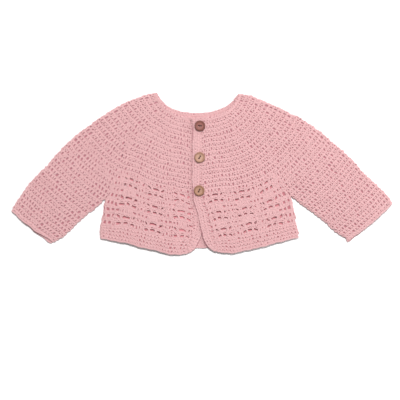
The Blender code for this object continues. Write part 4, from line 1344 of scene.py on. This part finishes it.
def make_cardigan(tree, yarn, cloth, back_finish):
    """Every piece of crochet, under its own name or that of the node that it replaces."""
    draw = np.random.default_rng(SEED)
    pieces = {}

    def stitch(name, strands, sides=YARN_SIDES):
        pieces[name] = yarn_piece(name, strands, tree, yarn, YARN, sides)

    for side in SIDES:
        make_side(side, pieces, stitch, cloth, draw)
    make_back(pieces, stitch, cloth, back_finish, draw)
    return pieces


def declare(piece, node=None):
    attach(piece, "root")
    if node:
        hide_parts(node)


def plan_size(plan):
    """Width and length of a grid of plan points, and its area."""
    points = plan.reshape(-1, 2)
    a, b, c, d = plan[:-1, :-1], plan[:-1, 1:], plan[1:, 1:], plan[1:, :-1]
    diagonal, other = c - a, d - b
    area = np.abs(diagonal[..., 0] * other[..., 1] - diagonal[..., 1] * other[..., 0]).sum() / 2
    return points.max(axis=0) - points.min(axis=0), area


def declare_sheets():
    """Works out the width, length and area of each front's plan and of the back's, and keeps none of them."""
    rows = np.linspace(V_TOP, V_HEM, 40)
    for side in SIDES:
        columns = np.linspace(U_SEAM[side], U_SIDE, 30)
        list(plan_size(front_plan(side, columns, rows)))
    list(plan_size(back_plan(np.linspace(-1, 1, 60), rows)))


# Materials ----------


def new_material(name):
    made = bpy.data.materials.new(name)
    made.use_nodes = True
    return made, made.node_tree, made.node_tree.nodes["Principled BSDF"]


def twist(tree, lay):
    """A wave round a strand, -1 in the grooves and 1 on its plies, that turns once in `lay` mm."""
    along = add_node(tree, "ShaderNodeAttribute", output="Fac", attribute_name="along")
    around = add_node(tree, "ShaderNodeAttribute", output="Vector", attribute_name="around")
    turn = add_node(tree, "ShaderNodeMath", {0: along, 1: 2 * math.pi / lay}, operation="MULTIPLY")
    x = add_node(tree, "ShaderNodeSeparateXYZ", {0: around}, "X")
    sine = add_node(tree, "ShaderNodeMath", {0: turn}, operation="SINE")
    cosine = add_node(tree, "ShaderNodeMath", {0: turn}, operation="COSINE")
    first = add_node(tree, "ShaderNodeMath", {0: sine, 1: x}, operation="MULTIPLY")
    return add_node(tree, "ShaderNodeMath", {0: cosine, 1: x.node.outputs["Y"], 2: first},
                    operation="MULTIPLY_ADD")


def cotton_yarn():
    """Mercerised cotton, spun and plied: soft, matt, with a faint twist, painted shade in the grooves between
    the plies, and paler fibres that catch light.
    """
    made, tree, shader = new_material("plied cotton yarn, pink")
    ply = twist(tree, PLY_LAY)
    tone = add_node(tree, "ShaderNodeAttribute", output="Fac", attribute_name="tone")
    place = add_node(tree, "ShaderNodeTexCoord", output="Object")
    fuzz = add_node(tree, "ShaderNodeTexNoise", {"Vector": place, "Scale": 1 / (FUZZ * MM), "Detail": 3.0})
    wide = add_node(tree, "ShaderNodeTexNoise", {"Vector": place, "Scale": 1 / (CLOUD * MM), "Detail": 2.0})
    own = add_node(tree, "ShaderNodeMath", {0: tone, 1: TONE_CHANGE, 2: 0.5 - CLOUD_CHANGE / 2},
                   operation="MULTIPLY_ADD")
    shade = add_node(tree, "ShaderNodeMath", {0: wide, 1: CLOUD_CHANGE, 2: own}, operation="MULTIPLY_ADD")
    body = add_node(tree, "ShaderNodeMix", {0: shade, 6: linear(YARN_SHADE), 7: linear(YARN_LIGHT)}, 2,
                    data_type="RGBA")
    # Painted shade: the grooves between the plies are darkened towards the deep pink.
    groove = add_node(tree, "ShaderNodeMath", {0: ply, 1: -GROOVE, 2: GROOVE}, operation="MULTIPLY_ADD")
    colour = add_node(tree, "ShaderNodeMix", {0: groove, 6: body, 7: linear(YARN_GROOVE_SHADE)}, 2, data_type="RGBA")
    height = add_node(tree, "ShaderNodeMath", {0: fuzz, 1: 1.2, 2: ply}, operation="MULTIPLY_ADD")
    bump = add_node(tree, "ShaderNodeBump", {"Height": height, "Strength": 0.35, "Distance": 0.12 * MM})
    feed(shader, {"Base Color": colour, "Normal": bump, "Roughness": 0.82, "IOR": 1.46,
                  "Specular IOR Level": 0.25, "Sheen Weight": 0.25, "Sheen Roughness": 0.6,
                  "Sheen Tint": linear(YARN_SHEEN)})
    return made


def sewing_thread():
    """Waxed thread: fine dark plies with a low gloss, painted lighter on the plies and darker in the grooves
    as painted light and shade.
    """
    made, tree, shader = new_material("waxed sewing thread")
    ply = twist(tree, THREAD_LAY)
    # Painted light on the plies and painted shade in the grooves.
    share = add_node(tree, "ShaderNodeMath", {0: ply, 1: 0.5, 2: 0.5}, operation="MULTIPLY_ADD")
    colour = add_node(tree, "ShaderNodeMix", {0: share, 6: linear(THREAD_SHADE), 7: linear(THREAD_LIGHT)}, 2,
                      data_type="RGBA")
    bump = add_node(tree, "ShaderNodeBump", {"Height": ply, "Strength": 0.4, "Distance": 0.05 * MM})
    feed(shader, {"Base Color": colour, "Normal": bump, "Roughness": 0.5, "Specular IOR Level": 0.3})
    return made


def inner_cloth(name, light, shade, lace_light, lace_shade, glow=0.0):
    """The back of the stitches, deep in the cloth, where light only comes off other pink yarn: painted shade,
    darker than the yarn, with painted light on the bumps of its grain and painted shade between them.

    In the lace it is painted redder, as the deeper shade in the gaps, and `glow` is painted light: an
    emission for the light that reaches it through the yarn of the front.
    """
    made, tree, shader = new_material(name)
    place = add_node(tree, "ShaderNodeTexCoord", output="Object")
    share = add_node(tree, "ShaderNodeAttribute", output="Fac", attribute_name="lace")
    grain = add_node(tree, "ShaderNodeTexNoise", {"Vector": place, "Scale": 1 / (GRAIN * MM), "Detail": 3.0})
    # Painted light and shade: lighter on the grain's bumps, darker between them.
    plain, in_lace = [add_node(tree, "ShaderNodeMix", {0: grain, 6: linear(low), 7: linear(high)}, 2,
                               data_type="RGBA")
                      for low, high in ((shade, light), (lace_shade, lace_light))]
    colour = add_node(tree, "ShaderNodeMix", {0: share, 6: plain, 7: in_lace}, 2, data_type="RGBA")
    bump = add_node(tree, "ShaderNodeBump", {"Height": grain, "Strength": 0.5, "Distance": 0.3 * MM})
    feed(shader, {"Base Color": colour, "Normal": bump, "Roughness": 0.9})
    # Painted light: a glow of its own in the lace.
    if glow:
        strength = add_node(tree, "ShaderNodeMath", {0: share, 1: glow}, operation="MULTIPLY")
        feed(shader, {"Emission Color": linear(lace_light), "Emission Strength": strength})
    return made


def turned_wood(name, pale, mid, dark, rim):
    """Turned wood or coconut shell: fine streaks along the grain, painted shade on the rim and a satin
    finish.
    """
    made, tree, shader = new_material(name)
    place = add_node(tree, "ShaderNodeTexCoord", output="Object")
    stretch = add_node(tree, "ShaderNodeMapping", {"Vector": place, "Scale": (1.0, STREAK_STRETCH, 1.0)})
    streak, cloud = [add_node(tree, "ShaderNodeTexNoise", {"Vector": at, "Scale": 1 / (size * MM),
                                                           "Detail": detail})
                     for at, size, detail in ((stretch, STREAK, 4.0), (place, WOOD_CLOUD, 2.0))]
    edge = add_node(tree, "ShaderNodeAttribute", output="Fac", attribute_name="rim")
    colour = linear(dark)
    # The rim's colour is painted shade.
    for share, shade in ((streak, pale), (cloud, mid), (edge, rim)):
        colour = add_node(tree, "ShaderNodeMix", {0: share, 6: colour, 7: linear(shade)}, 2, data_type="RGBA")
    bump = add_node(tree, "ShaderNodeBump", {"Height": streak, "Strength": 0.3, "Distance": 0.1 * MM})
    feed(shader, {"Base Color": colour, "Normal": bump, "Roughness": 0.5, "Specular IOR Level": 0.25})
    return made


def white_paper():
    """The floor: plain matt paper, which throws no colour on the cardigan."""
    made, _, shader = new_material("white paper")
    feed(shader, {"Base Color": linear("#FAFAFA"), "Roughness": 0.9})
    return made


# Buttons ----------


def turned_blank(name):
    """A button's section turned round its axis."""
    table = np.column_stack([np.arange(len(BUTTON_SECTION)), BUTTON_SECTION])
    outline = smooth(table, np.linspace(0, len(BUTTON_SECTION) - 1, 40))
    turned = bmesh.new()
    ring = [turned.verts.new(((BUTTON_DIAMETER / 2 - inset) * MM, 0.0, z * MM)) for inset, z in outline]
    edges = [turned.edges.new(pair) for pair in zip(ring[:-1], ring[1:])]
    bmesh.ops.spin(turned, geom=ring + edges, axis=(0, 0, 1), cent=(0, 0, 0), angle=2 * math.pi,
                   steps=BUTTON_STEPS, use_merge=True)
    bmesh.ops.remove_doubles(turned, verts=turned.verts, dist=BUTTON_WELD * MM)
    bmesh.ops.recalc_face_normals(turned, faces=turned.faces)
    mesh = bpy.data.meshes.new(name)
    turned.to_mesh(mesh)
    turned.free()
    return mesh


def drilled(mesh, hole_distance):
    """The blank with its two holes."""
    blank = bpy.data.objects.new(mesh.name, mesh)
    bpy.context.scene.collection.objects.link(blank)
    drills = []
    for end in (-1, 1):
        bpy.ops.mesh.primitive_cylinder_add(vertices=HOLE_SIDES, radius=HOLE_WIDTH / 2 * MM,
                                            depth=DRILL_LENGTH * MM,
                                            location=(end * hole_distance / 2 * MM, 0.0, 0.0))
        drills.append(bpy.context.object)
        cut = blank.modifiers.new("hole", "BOOLEAN")
        cut.operation = "DIFFERENCE"
        cut.object = drills[-1]
    mesh = finished(blank)
    for drill in drills:
        bpy.data.objects.remove(drill)
    return mesh


def make_button(number, x, y, turn, hole_distance, finish):
    """A turned button with a raised rim, a dished face and two holes, and the runs of its thread."""
    name = f"button_{number}_turned"
    mesh = drilled(turned_blank(name), hole_distance)
    mesh.name = name
    points = np.empty(len(mesh.vertices) * 3, np.float32)
    mesh.vertices.foreach_get("co", points)
    points = points.reshape(-1, 3)
    out = np.hypot(points[:, 0], points[:, 1]) / MM
    # Painted shade: the rim is darkened towards its own colour.
    start, width, strength = RIM
    mark(mesh, "rim", ease((out - (BUTTON_DIAMETER / 2 - start)) / width) * strength)
    angle = math.radians(turn)
    turning = np.array([[math.cos(angle), math.sin(angle), 0], [-math.sin(angle), math.cos(angle), 0],
                        [0, 0, 1]])
    seat = (x, y, BUTTON_SEAT)
    mesh.vertices.foreach_set("co", (points @ turning + to_metres([seat])).astype(np.float32).reshape(-1))
    mesh.shade_smooth()
    mesh.set_sharp_from_angle(angle=math.radians(BUTTON_CREASE))
    return link(name, mesh, finish), thread_runs(hole_distance, turning, seat)


def thread_runs(hole_distance, turning, seat):
    """Two runs of thread from hole to hole, whose ends go down into the holes."""
    strands = Strands()
    share = np.linspace(-1, 1, THREAD_POINTS)
    dive, depth = THREAD_DIVE
    height = THREAD_HEIGHT + THREAD_BOW * (1 - share ** 4) - depth * np.clip(
        (np.abs(share) - dive) / (1 - dive), 0, 1)
    for side in (-THREAD, THREAD):
        run = np.column_stack([share * hole_distance / 2, side * (THREAD_PINCH - share ** 2), height])
        strands.add((run @ turning + seat)[None], 1.0, np.zeros(1))
    return strands


# Stage ----------


def lay_floor():
    reach, height = FLOOR_REACH, FLOOR_HEIGHT
    floor = bpy.data.meshes.new("floor")
    floor.from_pydata([(x, y, height) for x, y in ((-reach, -reach), (reach, -reach), (reach, reach),
                                                   (-reach, reach))], [], [(0, 1, 2, 3)])
    link("floor", floor, white_paper())


def set_camera():
    """A long lens straight above the middle of the view."""
    camera = bpy.data.objects.new("camera", bpy.data.cameras.new("camera"))
    camera.data.lens = LENS
    camera.data.sensor_width = SENSOR
    camera.location = (CAMERA_PLACE[0] * MM, CAMERA_PLACE[1] * MM, VIEW_WIDTH * MM * LENS / SENSOR)
    bpy.context.scene.collection.objects.link(camera)
    bpy.context.scene.camera = camera


def hang_lights():
    """Soft round lamps that face the cardigan, and a white room."""
    scene = bpy.context.scene
    for name, place, size, power in SOFT_LIGHTS:
        lamp = bpy.data.lights.new(name, "AREA")
        lamp.shape = "DISK"
        lamp.size = size
        lamp.energy = power
        holder = bpy.data.objects.new(name, lamp)
        holder.location = place
        x, y, z = np.array(place) / np.linalg.norm(place)
        holder.rotation_euler = (math.acos(z), 0.0, math.atan2(-y, -x) - math.pi / 2)
        scene.collection.objects.link(holder)
    world = bpy.data.worlds.new("studio")
    world.use_nodes = True
    feed(world.node_tree.nodes["Background"], {"Color": linear("#FFFFFF"), "Strength": WORLD_LIGHT})
    scene.world = world
    scene.view_settings.view_transform = "Standard"


def main():
    tree, thread = yarn_tree(), sewing_thread()
    pieces = make_cardigan(tree, cotton_yarn(),
                           inner_cloth("cotton in the depth of the crochet, painted shade", *FRONT_DEPTH_PAINTED_SHADE),
                           inner_cloth("cotton inside the back, painted shade and glow", *BACK_DEPTH_PAINTED_SHADE, LACE_PAINTED_GLOW))
    for name, piece in pieces.items():
        declare(piece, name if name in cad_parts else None)
    for number, (place, wood) in enumerate(zip(BUTTONS, WOODS), 1):
        button, runs = make_button(number, *place, turned_wood(*wood))
        declare(button, f"button_{number}")
        declare(yarn_piece(f"button_{number}_thread", runs, tree, thread, THREAD, THREAD_SIDES))
    declare_sheets()
    lay_floor()
    set_camera()
    hang_lights()


main()
